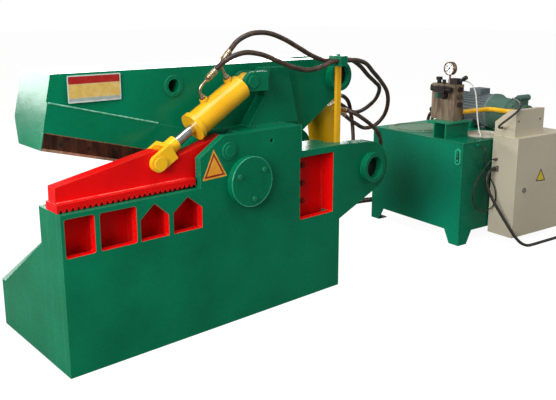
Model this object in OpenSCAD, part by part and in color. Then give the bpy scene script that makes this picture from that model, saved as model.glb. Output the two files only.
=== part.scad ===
// Hydraulic alligator shear for scrap metal, with its power unit and switch cabinet.
// X runs from the jaw's front to the tail, Y from the near side plate to the far one, Z up.
// Origin: on the floor, in the middle of the shear frame's underside.
// Inside the modules x is measured from the front of the jaw and y from the near side plate.

/* [Frame] */
// Length of the frame on the floor
frame_l = 1800; // [1700:10:1900]
// Distance of the main pivot from the front of the jaw
pivot_x = 1080; // [1060:5:1100]
// Height of the main pivot
pivot_z = 793; // [788:1:798]
// Height of the lower jaw
jaw_z = 801; // [795:1:803]
// Length of the open jaw in front of the head
jaw_l = 766; // [764:1:790]
// Height of the head over the pivot
head_z = 1060; // [1055:5:1065]
// Front end of the head's flat top
head_front = 918; // [900:5:930]
// Rear end of the head's flat top
head_rear = 1475; // [1440:5:1500]
// Height of the frame's shoulder behind the head
shoulder_z = 905; // [880:5:915]
// Height of the frame's rear end under the lug
rear_z = 435; // [400:5:470]
// Thickness of the outer side plates
side_t = 45; // [40:1:50]
// Thickness of the frame at the cylinder lugs
lug_t = 100; // [80:5:110]
// Width of the slot that holds the hold-down arm
slot_w = 105; // [100:1:115]
// Thickness of the inner jaw plate
inner_t = 83; // [75:1:90]
// Gap between the arm's far face and the far lug
far_gap = 125; // [115:5:140]
// Width of the foot that flares out under the chute
chute_low_z = 263; // [230:5:290]
// Height of the chute's top edge at the inner jaw plate
chute_high_z = 614; // [590:5:640]
// Thickness of the welded floor, front and chute plates
web_t = 20; // [14:1:26]
// Depth of the pockets behind the side windows
pocket_d = 62; // [50:1:75]
// Radius of the pivot covers
cover_r = 140; // [125:5:150]
// Thickness of the pivot covers
cover_t = 40; // [30:1:45]

/* [Pins and bores] */
// Radius of the main pivot shaft
shaft_r = 80; // [70:1:90]
// Radius of the lug and tail bores
lug_bore_r = 70; // [60:1:74]
// Outer radius of the tube bosses round those bores
boss_r = 95; // [90:1:100]
// How far the tube bosses stand out
boss_out = 40; // [25:1:45]
// Radius of the hold-down arm's pivot pin
hold_pin_r = 30; // [25:1:34]
// Radius of the two pins of the hold-down cylinder
cyl_pin_r = 25; // [20:1:28]
// Radial clearance of a running fit
run_gap = 0.05; // [0.02:0.01:0.1]
// Clearance between flat faces that slide past each other
side_gap = 3; // [1:0.5:4]
// Radial clearance of the two linkage pivots that take up the coupling error
link_gap = 3; // [2.5:0.5:4]

/* [Upper arm] */
// Width of the arm
arm_w = 364; // [350:2:380]
// Height of the arm's top edge
arm_top = 1410; // [1400:2:1420]
// Height of the blade's front corner with the jaw open
mouth_z = 1060; // [1050:2:1070]
// Radius of the arm's hub round the main pivot
hub_r = 188; // [175:1:195]
// Radius of the arm's tail round the cylinder pin
tail_r = 110; // [105:1:115]
// Width of the slot in the tail for the rod eye
tail_slot = 140; // [132:1:150]
// Radius of the lifting hole
lift_r = 36; // [25:1:40]
// Height of the blades
blade_h = 86; // [75:1:90]
// Thickness of the blades
blade_t = 30; // [25:1:35]
// Length of the blades
blade_l = 720; // [680:5:740]
// Gap between the two blades
blade_gap = 0.5; // [0.3:0.1:1]

/* [Hold-down] */
// Distance of the hold-down pivot from the front of the jaw
hold_x = 951; // [945:1:960]
// Height of the hold-down pivot
hold_z = 975; // [970:1:980]
// Thickness of the hold-down plate
hold_t = 76; // [70:1:84]
// Width of the toothed bar
bar_w = 118; // [105:1:125]
// Height of the toothed bar
bar_h = 40; // [34:1:46]
// Pitch of the teeth
tooth_p = 29; // [24:1:34]
// Depth of the teeth
tooth_d = 18; // [8:1:20]

/* [Cylinders] */
// Outer radius of the main cylinder
main_r = 95; // [88:1:100]
// Wall of the main cylinder
main_wall = 20; // [15:1:24]
// Radius of the main rod
main_rod_r = 50; // [40:1:55]
// Outer radius of the hold-down cylinder
clamp_r = 70; // [64:1:74]
// Wall of the hold-down cylinder
clamp_wall = 14; // [10:1:18]
// Radius of the hold-down rod
clamp_rod_r = 25; // [20:1:30]
// Diameter of the hydraulic hoses
hose_d = 28; // [24:1:32]
// Gap between a hose and a fitting on a cylinder that swings
hose_gap = 0.3; // [0.2:0.1:0.8]

/* [Power unit] */
// Length of the oil tank
tank_l = 950; // [900:10:1000]
// Width of the oil tank
tank_w = 900; // [860:10:940]
// Height of the tank's top
tank_z = 771; // [765:1:780]
// Height of the tank's feet
foot_h = 101; // [80:1:120]
// Height of the valve stand
stand_h = 124; // [110:1:135]
// Height of the manifold block
block_h = 270; // [250:5:290]
// Radius of the electric motor
motor_r = 133; // [120:1:140]
// Length of the electric motor
motor_l = 400; // [380:10:430]
// Radius of the pressure gauge
gauge_r = 50; // [40:1:60]

/* [Cabinet] */
// Width of the switch cabinet
cab_w = 600; // [580:5:620]
// Height of the switch cabinet
cab_h = 745; // [730:5:760]
// Depth of the switch cabinet
cab_d = 220; // [200:5:235]
// Height of the cabinet's base over the floor
cab_z = 62; // [55:1:70]
// Thickness of the cabinet's walls
wall = 3; // [2:0.5:4]

/* [Hidden] */
$fn = 64;

green = "#0b7a5c";
red = "#d01818";
yellow = "#f2b705";
steel = "#9a9a98";
dark = "#2b2926";
beige = "#cfc6b0";

// Planes across the frame, from the near side plate's outer face
inner_y = side_t + slot_w;
shear_y = inner_y + inner_t;
arm_y = shear_y + side_gap;
arm_far = shear_y + arm_w;
frame_w = arm_far + far_gap + lug_t;
mid_y = shear_y + arm_w / 2;
slot_y = side_t + slot_w / 2;
far_y = frame_w - side_t;

// Cylinder lug, tail pin and hold-down pins, as (x, z)
lug = [2078, 727];
lug_r = 162;
tail = [1995, 1297];
clevis = [545, 958];
anchor = [1155, 1325];
pivot = [pivot_x, pivot_z];
hold = [hold_x, hold_z];

// The power unit stands turned a little against the frame; its x and y start at its near left corner
unit_x = 2999;
unit_y = -62;
unit_a = -6.5;
function place(x, y, z) = [unit_x + x * cos(unit_a) - y * sin(unit_a), unit_y + x * sin(unit_a) + y * cos(unit_a), z];

// Puts children at a point given from the front of the jaw and the near side plate
module at(x, y, z) {
  translate([x - frame_l / 2, y - frame_w / 2, z]) children();
}

// Plate cut to a side outline, from y to y + t
module plate(y, t) {
  at(0, y + t, 0) rotate([90, 0, 0]) linear_extrude(t) children();
}

// Round bar along Y at the point p = (x, z), from y to y + l
module bar(p, y, l, r) {
  at(p.x, y + l, p.y) rotate([90, 0, 0]) cylinder(h = l, r = r);
}

// Point where a line from p touches the circle c, r on its left (s = 1) or right (s = -1)
function touch(p, c, r, s) =
  let (u = (p - c) / norm(p - c), a = s * acos(r / norm(p - c)))
  c + r * [u.x * cos(a) - u.y * sin(a), u.x * sin(a) + u.y * cos(a)];

// ---------- Frame ----------

window_low = 590;
window_r = 12;
// Square windows in the near side plate, as (x, width, z, height)
square_windows = [[17, 149, window_low, 188], [192, 194, window_low, 186]];
// Pointed windows: first x, width, height of the shoulders, height of the point
pointed_windows = [[406, 162, 110, 181], [595, 176, 112, 181]];
rear_window = [1465, 275, 493, 375];

module rounded(w, h, r) {
  translate([r, r]) circle(r);
  translate([w - r, r]) circle(r);
  translate([w - r, h - r]) circle(r);
  translate([r, h - r]) circle(r);
  translate([r, 0]) square([w - 2 * r, h]);
  translate([0, r]) square([w, h - 2 * r]);
}

module windows() {
  for (w = square_windows) translate([w[0], w[2]]) rounded(w[1], w[3], window_r);
  for (w = pointed_windows) {
    translate([w[0], window_low]) polygon([[0, 0], [w[1], 0], [w[1], w[2]], [w[1] / 2, w[3]], [0, w[2]]]);
  }
}

// Side outline of the frame, without its lug
module head_outline() {
  polygon([[0, 0], [frame_l, 0], [frame_l, shoulder_z], [head_rear, shoulder_z], [head_rear, head_z],
           [head_front, head_z], [jaw_l, head_z - 101], [jaw_l, jaw_z], [0, jaw_z]]);
}

// Rear outline that carries the main cylinder
module lug_outline() {
  foot = [frame_l, rear_z];
  top = [frame_l + 23, shoulder_z];
  union() {
    polygon([foot, touch(foot, lug, lug_r, 1), lug, touch(top, lug, lug_r, -1), top,
             [head_rear, shoulder_z], [head_rear, shoulder_z - 100], [frame_l - 60, rear_z]]);
    translate(lug) circle(lug_r);
  }
}

module near_side_plate() {
  color(green) difference() {
    union() {
      plate(0, side_t) head_outline();
      plate(0, side_t) lug_outline();
      plate(side_t, lug_t - side_t) difference() {
        lug_outline();
        square([frame_l - 60, shoulder_z - 30]);
      }
      bar(lug, -boss_out, boss_out, boss_r);
      bar(hold, -10, 10, 46);
    }
    plate(-1, side_t + 2) windows();
    plate(-1, side_t + 2) translate([rear_window[0], rear_window[2]]) square([rear_window[1], rear_window[3]]);
    bar(pivot, -1, side_t + 2, shaft_r + run_gap);
    bar(hold, -11, side_t + 12, hold_pin_r + run_gap);
    bar(lug, -boss_out - 1, boss_out + lug_t + 2, lug_bore_r + run_gap);
    bar([1250, 996], -1, side_t + 2, 12.5);
  }
}

// Inner plate that carries the lower blade, with the cover over the slot
module inner_jaw_plate() {
  color(green) difference() {
    union() {
      plate(inner_y, inner_t) head_outline();
      plate(side_t, slot_w) translate([head_front + 130, head_z - web_t]) square([head_rear - head_front - 130, web_t]);
    }
    bar(pivot, inner_y - 1, inner_t + 2, shaft_r + run_gap);
    bar(hold, inner_y - 1, inner_t + 2, hold_pin_r + run_gap);
    plate(shear_y - blade_t, blade_t + 1) translate([20, jaw_z - blade_h]) square([blade_l, blade_h + 1]);
  }
}

module far_side_plate() {
  color(green) difference() {
    union() {
      plate(far_y, side_t) polygon([[0, 0], [frame_l, 0], [frame_l, shoulder_z], [head_rear, shoulder_z],
        [head_rear, head_z], [head_front, head_z], [620, 640], [350, 500], [0, chute_low_z]]);
      plate(far_y, side_t) lug_outline();
      plate(frame_w - lug_t, lug_t - side_t) difference() {
        lug_outline();
        square([frame_l - 60, shoulder_z - 30]);
      }
      bar(lug, frame_w, boss_out, boss_r);
      bar(pivot, arm_far + side_gap, far_y - arm_far - side_gap, cover_r);
    }
    bar(pivot, arm_far, frame_w - arm_far + 1, shaft_r + run_gap);
    bar(lug, frame_w - lug_t - 1, lug_t + boss_out + 2, lug_bore_r + run_gap);
  }
}

// Floor, front end, rear end and chute plates, welded between the side plates
module base_box() {
  color(green) {
    at(0, side_t, 0) cube([frame_l, slot_w, web_t]);
    at(web_t, shear_y, 0) cube([frame_l - web_t, far_y - shear_y, web_t]);
    at(frame_l - web_t, shear_y, web_t) cube([web_t, far_y - shear_y, rear_z - web_t]);
    at(0, side_t, web_t) cube([web_t, slot_w, jaw_z - web_t]);
    at(0, 0, 0) rotate([90, 0, 90]) linear_extrude(web_t)
      polygon([[shear_y, 0], [far_y, 0], [far_y, chute_low_z], [shear_y, chute_high_z]]);
    at(web_t, 0, 0) rotate([90, 0, 90]) linear_extrude(pivot_x - hub_r - 2 * side_gap - web_t - 180)
      polygon([[shear_y, chute_high_z - web_t], [far_y, chute_low_z - web_t],
               [far_y, chute_low_z], [shear_y, chute_high_z]]);
    at(head_rear + 25, lug_t, shoulder_z - web_t) cube([frame_l - head_rear - 45, inner_y - lug_t, web_t]);
  }
}

// Bracket on the head for the hold-down cylinder, with its two ears
ear_r = 52;
eye_t = 56;
ear_t = 26;
far_ear_y = slot_y + eye_t / 2 + 1;
near_ear_y = slot_y - eye_t / 2 - 1 - ear_t;
near_ear_l = 105;
post_front = 171;
post_top = anchor.y + 59;
module holddown_bracket() {
  color(green) difference() {
    union() {
      plate(inner_y, inner_t) polygon([[anchor.x + ear_r, head_z], [anchor.x + 425, head_z], [anchor.x + 341, post_top],
        [anchor.x + post_front, post_top], [anchor.x + post_front, anchor.y - 103]]);
      plate(near_ear_y, ear_t) ear_outline(near_ear_l);
      plate(far_ear_y, inner_y - far_ear_y) ear_outline(post_front + 19);
      plate(near_ear_y + ear_t, inner_y - near_ear_y - ear_t) translate([anchor.x + 75, anchor.y - ear_r])
        square([near_ear_l - 75, 2 * ear_r]);
    }
    bar(anchor, near_ear_y - 1, inner_y + inner_t, cyl_pin_r + run_gap);
  }
  module ear_outline(l) {
    translate(anchor) circle(ear_r);
    translate([anchor.x, anchor.y - ear_r]) square([l, 2 * ear_r]);
  }
}

// Red plates behind the windows
module window_plates() {
  front_low = window_low - 30;
  front_right = pointed_windows[1][0] + pointed_windows[1][1] + pocket_d;
  rear_low = rear_window[2] - 33;
  color(red) {
    plate(side_t + pocket_d, 10) translate([web_t, front_low]) square([front_right - web_t, jaw_z - front_low - 24]);
    plate(side_t + pocket_d, 10) translate([head_rear - 24, rear_low]) square([frame_l - head_rear - 40, rear_window[3]]);
    plate(side_t, pocket_d) translate([head_rear - 24, rear_low]) square([10, rear_window[3]]);
    for (w = [square_windows[0], square_windows[1], pointed_windows[0]])
      plate(side_t, pocket_d) translate([w[0] + w[1] + 6, window_low - 20]) square([10, 200]);
  }
}

// Hexagon head with a washer, standing on a face at its origin, looking along Z
module bolt_head(r) {
  cylinder(h = r * 0.2, r = r * 1.15);
  translate([0, 0, r * 0.2]) cylinder(h = r * 0.7, r = r, $fn = 6);
}

module frame_bolts() {
  bolts_r = 0.7 * cover_r;
  color(dark) {
    for (a = [36, 156, 276]) {
      at(pivot_x + bolts_r * cos(a), -cover_t, pivot_z + bolts_r * sin(a)) rotate([90, 0, 0]) bolt_head(13);
      at(pivot_x + bolts_r * cos(a), frame_w + cover_t, pivot_z + bolts_r * sin(a)) rotate([-90, 0, 0]) bolt_head(13);
    }
    for (z = [570, 680, 790]) at(1580, side_t + pocket_d, z) rotate([90, 0, 0]) bolt_head(16);
    for (i = [0:4]) at(20 + blade_l * (i + 0.5) / 5, shear_y - blade_t, jaw_z - blade_h / 2)
      rotate([-90, 0, 0]) cylinder(h = blade_t - 2, r = bolt_r - run_gap);
  }
}

// Radius of the blades' bolts
bolt_r = 12;

// Steel block with a row of bolt holes, its cutting edge along +X at z = 0
module blade(h, holes_r) {
  difference() {
    cube([blade_l, blade_t, h]);
    for (i = [0:4]) translate([blade_l * (i + 0.5) / 5, -1, h / 2]) rotate([-90, 0, 0]) cylinder(h = blade_t + 2, r = holes_r);
  }
}

module lower_blade() {
  color(steel) at(20, shear_y - blade_t, jaw_z - blade_h) blade(blade_h, bolt_r);
}

module pivot_shaft() {
  color(steel) bar(pivot, 0, frame_w, shaft_r);
}

module pivot_covers() {
  color(green) {
    bar(pivot, -cover_t, cover_t, cover_r);
    bar(pivot, frame_w, cover_t, cover_r);
  }
}

// Pin of the hold-down arm and pin of its cylinder's anchor
module frame_pins() {
  color(green) {
    bar(hold, -16, shear_y + 16, hold_pin_r);
    bar(anchor, near_ear_y - 8, inner_y + 60 - near_ear_y, cyl_pin_r);
    bar(anchor, near_ear_y - 8, 8, cyl_pin_r + 8);
  }
}

post_x = 1850;
post_y = 80;
clamp_z = 1405;
hose_step = 46;
module hose_post() {
  color(yellow) difference() {
    at(post_x - 18, post_y - 10, shoulder_z - 40) cube([36, 20, clamp_z + 10 - shoulder_z]);
    plate(side_t - 1, lug_t - side_t + 2) lug_outline();
  }
}

module hose_clamp() {
  color(green) difference() {
    union() {
      at(post_x - 28, post_y - hose_step / 2 - 28, clamp_z - 30) cube([56, hose_step + 56, 60]);
      at(post_x, post_y, clamp_z + 30) bolt_head(11);
    }
    for (s = [-1, 1]) at(post_x - 29, post_y + s * hose_step / 2, clamp_z)
      rotate([0, 90, 0]) cylinder(h = 58, r = hose_d / 2 + 0.3);
  }
}

// ---------- Upper arm ----------

// Slope of the upper blade with the jaw open, set by its front corner and the pivot
edge_drop = 18;
edge_angle = atan2(mouth_z - (pivot_z - edge_drop), pivot_x - 28);

module arm_outline() {
  front = [28, mouth_z];
  a = touch(front, pivot, hub_r, 1);
  d = norm(tail - pivot);
  t = atan2(tail.y - pivot_z, tail.x - pivot_x) - 90 + asin((hub_r - tail_r) / d);
  n = [cos(t), sin(t)];
  edge = [pivot_x, pivot_z - edge_drop];
  union() {
    polygon([front, edge, pivot + hub_r * n, tail + tail_r * n, tail, [tail.x, tail.y + tail_r],
             [tail.x - 60, arm_top], [108, arm_top]]);
    translate(pivot) circle(hub_r);
    translate(tail) circle(tail_r);
  }
}

ledge_h = 228;
web_in = 16;
module upper_arm() {
  hole = [771, 1314];
  color(green) difference() {
    union() {
      difference() {
        plate(arm_y, arm_w - side_gap) arm_outline();
        // near face set back over the blade holder, running out towards the pivot
        edge_frame() translate([-150, 0, ledge_h]) linear_extrude(600)
          polygon([[0, -1], [950, -1], [950, side_gap], [180, side_gap + web_in], [0, side_gap + web_in]]);
      }
      bar(tail, arm_y - boss_out - side_gap, boss_out + side_gap, boss_r);
      bar(tail, arm_far, boss_out, boss_r);
      bar(hole, arm_y - 5, 30, lift_r + 18);
    }
    bar(pivot, arm_y - 1, arm_w + 2, shaft_r + bush_t);
    bar(tail, 0, frame_w, lug_bore_r);
    bar(hole, arm_y - 6, arm_w + 12, lift_r);
    // slot for the rod eye
    plate(mid_y - tail_slot / 2, tail_slot) translate([1760, 900]) square([500, 600]);
    // seat of the blade
    blade_seat() translate([-60, -1, -1]) cube([blade_l + 60 + side_gap, blade_t + 1 + blade_gap, blade_h + 1]);
    // far side taking in towards the edge
    edge_frame() translate([-200, arm_w, 0]) rotate([90, 0, 90]) linear_extrude(1100)
      polygon([[1, 130], [-20, 100], [-110, -10], [-110, -300], [1, -300]]);
  }
}

// Frame of the edge: origin at the front corner of the mouth, X along the edge
module edge_frame() {
  at(28, shear_y, mouth_z) rotate([0, edge_angle, 0]) children();
}

// Frame of the upper blade: origin at its front lower corner, X along its edge
module blade_seat() {
  edge_frame() translate([24, 0, 0]) children();
}

module upper_blade() {
  color("#5a4438") blade_seat() translate([0, blade_gap, 0]) blade(blade_h, bolt_r);
}

module upper_blade_bolts() {
  color(dark) blade_seat() for (i = [0:4]) translate([blade_l * (i + 0.5) / 5, blade_gap + 2, blade_h / 2])
    rotate([-90, 0, 0]) cylinder(h = blade_t - 2, r = bolt_r - run_gap);
}

bush_t = 14;
module arm_bush() {
  color("#b08d3c") difference() {
    bar(pivot, arm_y, arm_w - side_gap, shaft_r + bush_t - run_gap);
    bar(pivot, arm_y - 1, arm_w + 2, shaft_r + run_gap);
  }
}

module tail_pin() {
  color(steel) bar(tail, arm_y - 12, arm_w + 21, lug_bore_r - run_gap);
}

// ---------- Main cylinder ----------

main_len = norm(tail - lug);
main_tilt = atan2(tail.x - lug.x, tail.y - lug.y);
barrel_low = -170;
barrel_high = 340;
gland_h = 34;

// Frame of the main cylinder: origin on the trunnions, Z towards the tail pin
module main_axis() {
  at(lug.x, mid_y, lug.y) rotate([0, main_tilt, 0]) children();
}

module main_barrel() {
  color(yellow) main_axis() difference() {
    union() {
      translate([0, 0, barrel_low]) cylinder(h = barrel_high - barrel_low, r = main_r);
      translate([0, 0, -60]) cylinder(h = 120, r = main_r + 18);
      translate([0, mid_y - 12, 0]) rotate([90, 0, 0]) cylinder(h = 2 * mid_y - 24, r = lug_bore_r);
      for (z = [barrel_low + 60, barrel_high - 40]) translate([main_r - 10, 0, z]) rotate([0, 90, 0]) cylinder(h = 30, r = 26);
    }
    translate([0, 0, barrel_low + 40]) cylinder(h = 600, r = main_r - main_wall);
    for (z = [barrel_low + 60, barrel_high - 40]) translate([main_r - main_wall - 5, 0, z]) rotate([0, 90, 0]) cylinder(h = 60, r = 10);
  }
}

module main_gland() {
  color(yellow) main_axis() translate([0, 0, barrel_high]) difference() {
    union() {
      cylinder(h = gland_h, r = main_r + 8);
      translate([0, 0, -45]) cylinder(h = 46, r = main_r - main_wall - run_gap);
    }
    translate([0, 0, -60]) cylinder(h = 120, r = main_rod_r + run_gap);
  }
}

// Two tees by the gland: one on the upper port, one on a pipe from the lower port
tee_x = main_r + 62;
tee_z = barrel_high - 40;
tee_y = [0, 45];
tee_rise = [0, 72];
tee_out = 40;
loop_lean = 130;
module main_port_tees() {
  color(steel) main_axis() {
    for (i = [0, 1]) translate([tee_x, tee_y[i], tee_z + tee_rise[i]]) {
      translate([0, 0, -20]) cylinder(h = 40, r = 17);
      rotate([0, loop_lean, 0]) cylinder(h = tee_out, r = 14);
    }
    translate([tee_x, 0, tee_z]) rotate([90, 0, 0]) cylinder(h = tee_out, r = 15);
    translate([tee_x, tee_y[1], tee_z + tee_rise[1]]) rotate([0, 90, 0]) cylinder(h = tee_out, r = 15);
    translate([main_r + 20, 0, tee_z]) rotate([0, 90, 0]) cylinder(h = 44, r = 14);
    translate([main_r + 20, 0, barrel_low + 60]) rotate([0, 90, 0]) cylinder(h = 56, r = 14);
    translate([tee_x, 0, barrel_low + 60]) rotate([-90, 0, 0]) cylinder(h = tee_y[1] + 13, r = 11);
    translate([tee_x, tee_y[1], barrel_low + 60]) cylinder(h = tee_z + tee_rise[1] - barrel_low - 60, r = 9);
  }
}

module main_rod() {
  eye_r = 92;
  color(steel) main_axis() difference() {
    union() {
      translate([0, 0, barrel_low + 50]) cylinder(h = 60, r = main_r - main_wall - run_gap);
      translate([0, 0, barrel_low + 60]) cylinder(h = main_len - barrel_low - 60 - 60, r = main_rod_r);
      translate([0, tail_slot / 2 - side_gap, main_len]) rotate([90, 0, 0]) cylinder(h = tail_slot - 2 * side_gap, r = eye_r + 6);
      translate([0, 0, main_len - 150]) cylinder(h = 90, r = main_rod_r + 14);
    }
    translate([0, tail_slot, main_len]) rotate([90, 0, 0]) cylinder(h = 2 * tail_slot, r = lug_bore_r - run_gap + link_gap);
  }
}

// ---------- Hold-down ----------

bar_z = jaw_z + 2;
module holddown_outline() {
  top_r = 62;
  back = [clevis.x + 136, clevis.y + 20];
  union() {
    polygon([[8, bar_z + bar_h - 6], [jaw_l - 8, bar_z + bar_h + 4], [hold.x - 10, hold.y - 74], hold,
             touch(back, hold, 76, -1), back, [clevis.x + 118, clevis.y + 4], [clevis.x + 84, clevis.y - 14],
             [clevis.x + 56, clevis.y - 24], clevis, touch([10, 916], clevis, top_r, -1), [10, 916]]);
    translate(clevis) circle(top_r);
    translate(hold) circle(76);
  }
}

// Underside of the bar: a row of teeth cut into it
module toothed_bar() {
  n = floor((jaw_l - 10) / tooth_p);
  rise = 9 / jaw_l;
  bar_l = n * tooth_p;
  polygon(concat([for (i = [0:n - 1]) each [
      [i * tooth_p, bar_z + i * tooth_p * rise],
      [i * tooth_p + tooth_p * 0.3, bar_z + i * tooth_p * rise],
      [i * tooth_p + tooth_p * 0.65, bar_z + tooth_d + i * tooth_p * rise]]],
    [[bar_l, bar_z + bar_l * rise], [bar_l, bar_z + bar_h + bar_l * rise], [0, bar_z + bar_h]]));
}

module holddown_arm() {
  color(red) difference() {
    union() {
      plate(inner_y - side_gap - bar_w, bar_w) toothed_bar();
      plate(slot_y - hold_t / 2, hold_t) holddown_outline();
    }
    bar(hold, 0, shear_y, hold_pin_r + run_gap);
    bar(clevis, 0, shear_y, cyl_pin_r + run_gap);
  }
}

clevis_t = 24;
clevis_w = hold_t + 2 * side_gap + 2 * clevis_t;
module clevis_pin() {
  color(yellow) {
    bar(clevis, slot_y - clevis_w / 2 - 10, clevis_w + 20, cyl_pin_r);
    bar(clevis, slot_y - clevis_w / 2 - 18, 8, cyl_pin_r + 9);
  }
}

clamp_len = norm(anchor - clevis);
clamp_tilt = atan2(anchor.y - clevis.y, anchor.x - clevis.x);
clamp_rear = -56;
clamp_front = -400;

// Frame of the hold-down cylinder: origin at the anchor pin, the rod towards -X
module clamp_axis() {
  at(anchor.x, slot_y, anchor.y) rotate([0, -clamp_tilt, 0]) children();
}

// Round bar along local X, from x to x + l
module along(x, l, r) {
  translate([x, 0, 0]) rotate([0, 90, 0]) cylinder(h = l, r = r);
}

front_port = clamp_front + 110;
rear_port = -105;
module holddown_barrel() {
  color(yellow) clamp_axis() difference() {
    union() {
      along(clamp_front, clamp_rear - clamp_front, clamp_r);
      translate([0, eye_t / 2, 0]) rotate([90, 0, 0]) cylinder(h = eye_t, r = 45);
      translate([clamp_rear - 4, -eye_t / 2, -45]) cube([-clamp_rear + 4, eye_t, 90]);
      for (x = [front_port, rear_port]) translate([x, 0, clamp_r - 8]) cylinder(h = 26, r = 22);
    }
    along(clamp_front - 1, clamp_rear - clamp_front - 24, clamp_r - clamp_wall);
    translate([0, eye_t, 0]) rotate([90, 0, 0]) cylinder(h = 2 * eye_t, r = cyl_pin_r + run_gap);
    for (x = [front_port, rear_port]) translate([x, 0, clamp_r - clamp_wall - 5]) cylinder(h = 50, r = 8);
  }
}

module holddown_gland() {
  color(yellow) clamp_axis() difference() {
    union() {
      along(clamp_front - 26, 26, clamp_r + 9);
      along(clamp_front, 45, clamp_r - clamp_wall - run_gap);
    }
    along(clamp_front - 40, 100, clamp_rod_r + run_gap);
  }
}

// Steel elbow on a port: up, over and into a crimped ferrule; e is [rise, lean, run, turn]
module elbow(x, e) {
  rise = e[0];
  lean = e[1];
  run = e[2];
  translate([x, 0, clamp_r + 18]) rotate([0, 0, e[3]]) {
    cylinder(h = 16, r = 17, $fn = 6);
    cylinder(h = rise, r = 8);
    translate([0, 11, rise]) rotate([90, 0, 0]) cylinder(h = 22, r = 11);
    translate([0, 0, rise]) rotate([0, lean, 0]) {
      cylinder(h = run, r = 8);
      translate([0, 0, run - 62]) cylinder(h = 62, r = 16);
    }
  }
}

front_elbow = [60, 75, 140, -14];
rear_elbow = [90, 75, 96, 0];
module holddown_elbows() {
  color(steel) clamp_axis() {
    elbow(front_port, front_elbow);
    elbow(rear_port, rear_elbow);
  }
}

module holddown_rod() {
  color(steel) clamp_axis() {
    along(-clamp_len + 95, clamp_len - 95 + clamp_front + 60, clamp_rod_r);
    along(clamp_front + 48, 40, clamp_r - clamp_wall - run_gap);
  }
}

module holddown_clevis() {
  color(yellow) clamp_axis() translate([-clamp_len, 0, 0]) difference() {
    union() {
      for (s = [-1, 1]) translate([0, s * (clevis_w - clevis_t) / 2 + clevis_t / 2, 0]) rotate([90, 0, 0]) {
        cylinder(h = clevis_t, r = 44);
        translate([0, -44, 0]) cube([78, 88, clevis_t]);
      }
      translate([78, -clevis_w / 2, -44]) cube([24, clevis_w, 88]);
      along(102, 58, 40);
    }
    along(94, 100, clamp_rod_r + run_gap);
    translate([0, clevis_w, 0]) rotate([90, 0, 0]) cylinder(h = 2 * clevis_w, r = cyl_pin_r + link_gap);
  }
}

// ---------- Hoses and cables ----------

function unit(v) = v / norm(v);

// Point between p[i] and p[i + 1] on a smooth curve through all the points
function between(p, i, t) =
  let (n = len(p) - 1, b = p[i], c = p[i + 1],
       a = i > 0 ? p[i - 1] : 2 * b - c,
       d = i < n - 1 ? p[i + 2] : 2 * c - b)
  0.5 * (2 * b + t * (c - a) + t * t * (2 * a - 5 * b + 4 * c - d) + t * t * t * (3 * b - 3 * c + d - a));

function smooth(p, n) = concat([for (i = [0:len(p) - 2]) for (k = [0:n - 1]) between(p, i, k / n)], [p[len(p) - 1]]);

// Directions along the curve p through points q; its ends keep the direction of their first and last stretch
function headings(p, q) = [for (i = [0:len(p) - 1])
  i == 0 ? unit(q[1] - q[0]) : i == len(p) - 1 ? unit(q[len(q) - 1] - q[len(q) - 2]) : unit(p[i + 1] - p[i - 1])];

// Side directions of the rings, carried along the route without twist
function sides(t, i, v) =
  i == len(t) ? [] :
  let (s = unit(v - (v * t[i]) * t[i]))
  concat([s], sides(t, i + 1, s));

// Round tube along the points, with n rings between each two of them
module tube(points, r, n, fn, start) {
  p = smooth(points, n);
  m = len(p);
  t = headings(p, points);
  s = sides(t, 0, start);
  ring = [for (i = [0:m - 1]) for (j = [0:fn - 1])
    p[i] + r * (s[i] * cos(360 * j / fn) + cross(t[i], s[i]) * sin(360 * j / fn))];
  walls = [for (i = [0:m - 2]) for (j = [0:fn - 1]) for (h = [0, 1])
    let (a = i * fn + j, b = i * fn + (j + 1) % fn)
    h == 0 ? [a, a + fn, b] : [b, a + fn, b + fn]];
  polyhedron(points = ring, faces = concat(walls, [[for (j = [0:fn - 1]) j]],
    [[for (j = [0:fn - 1]) m * fn - 1 - j]]));
}

// Routes, measured like the frame: x from the front of the jaw, y from the near side plate
function clamp_pt(x, y, z) = [anchor.x + x * cos(clamp_tilt) - z * sin(clamp_tilt), slot_y + y,
  anchor.y + x * sin(clamp_tilt) + z * cos(clamp_tilt)];
// Point on the axis of an elbow's ferrule, l past its end
function elbow_end(e, x, l) = let (d = e[2] + l)
  clamp_pt(x + d * sin(e[1]) * cos(e[3]), d * sin(e[1]) * sin(e[3]), clamp_r + 18 + e[0] + d * cos(e[1]));
function main_pt(x, y, z) = [lug.x + x * cos(main_tilt) + z * sin(main_tilt), mid_y + y,
  lug.y - x * sin(main_tilt) + z * cos(main_tilt)];
function loop_end(i, l) = let (d = tee_out + l)
  main_pt(tee_x + d * sin(loop_lean), tee_y[i], tee_z + tee_rise[i] + d * cos(loop_lean));
near_line = post_y - hose_step / 2;
far_line = post_y + hose_step / 2;

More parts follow.
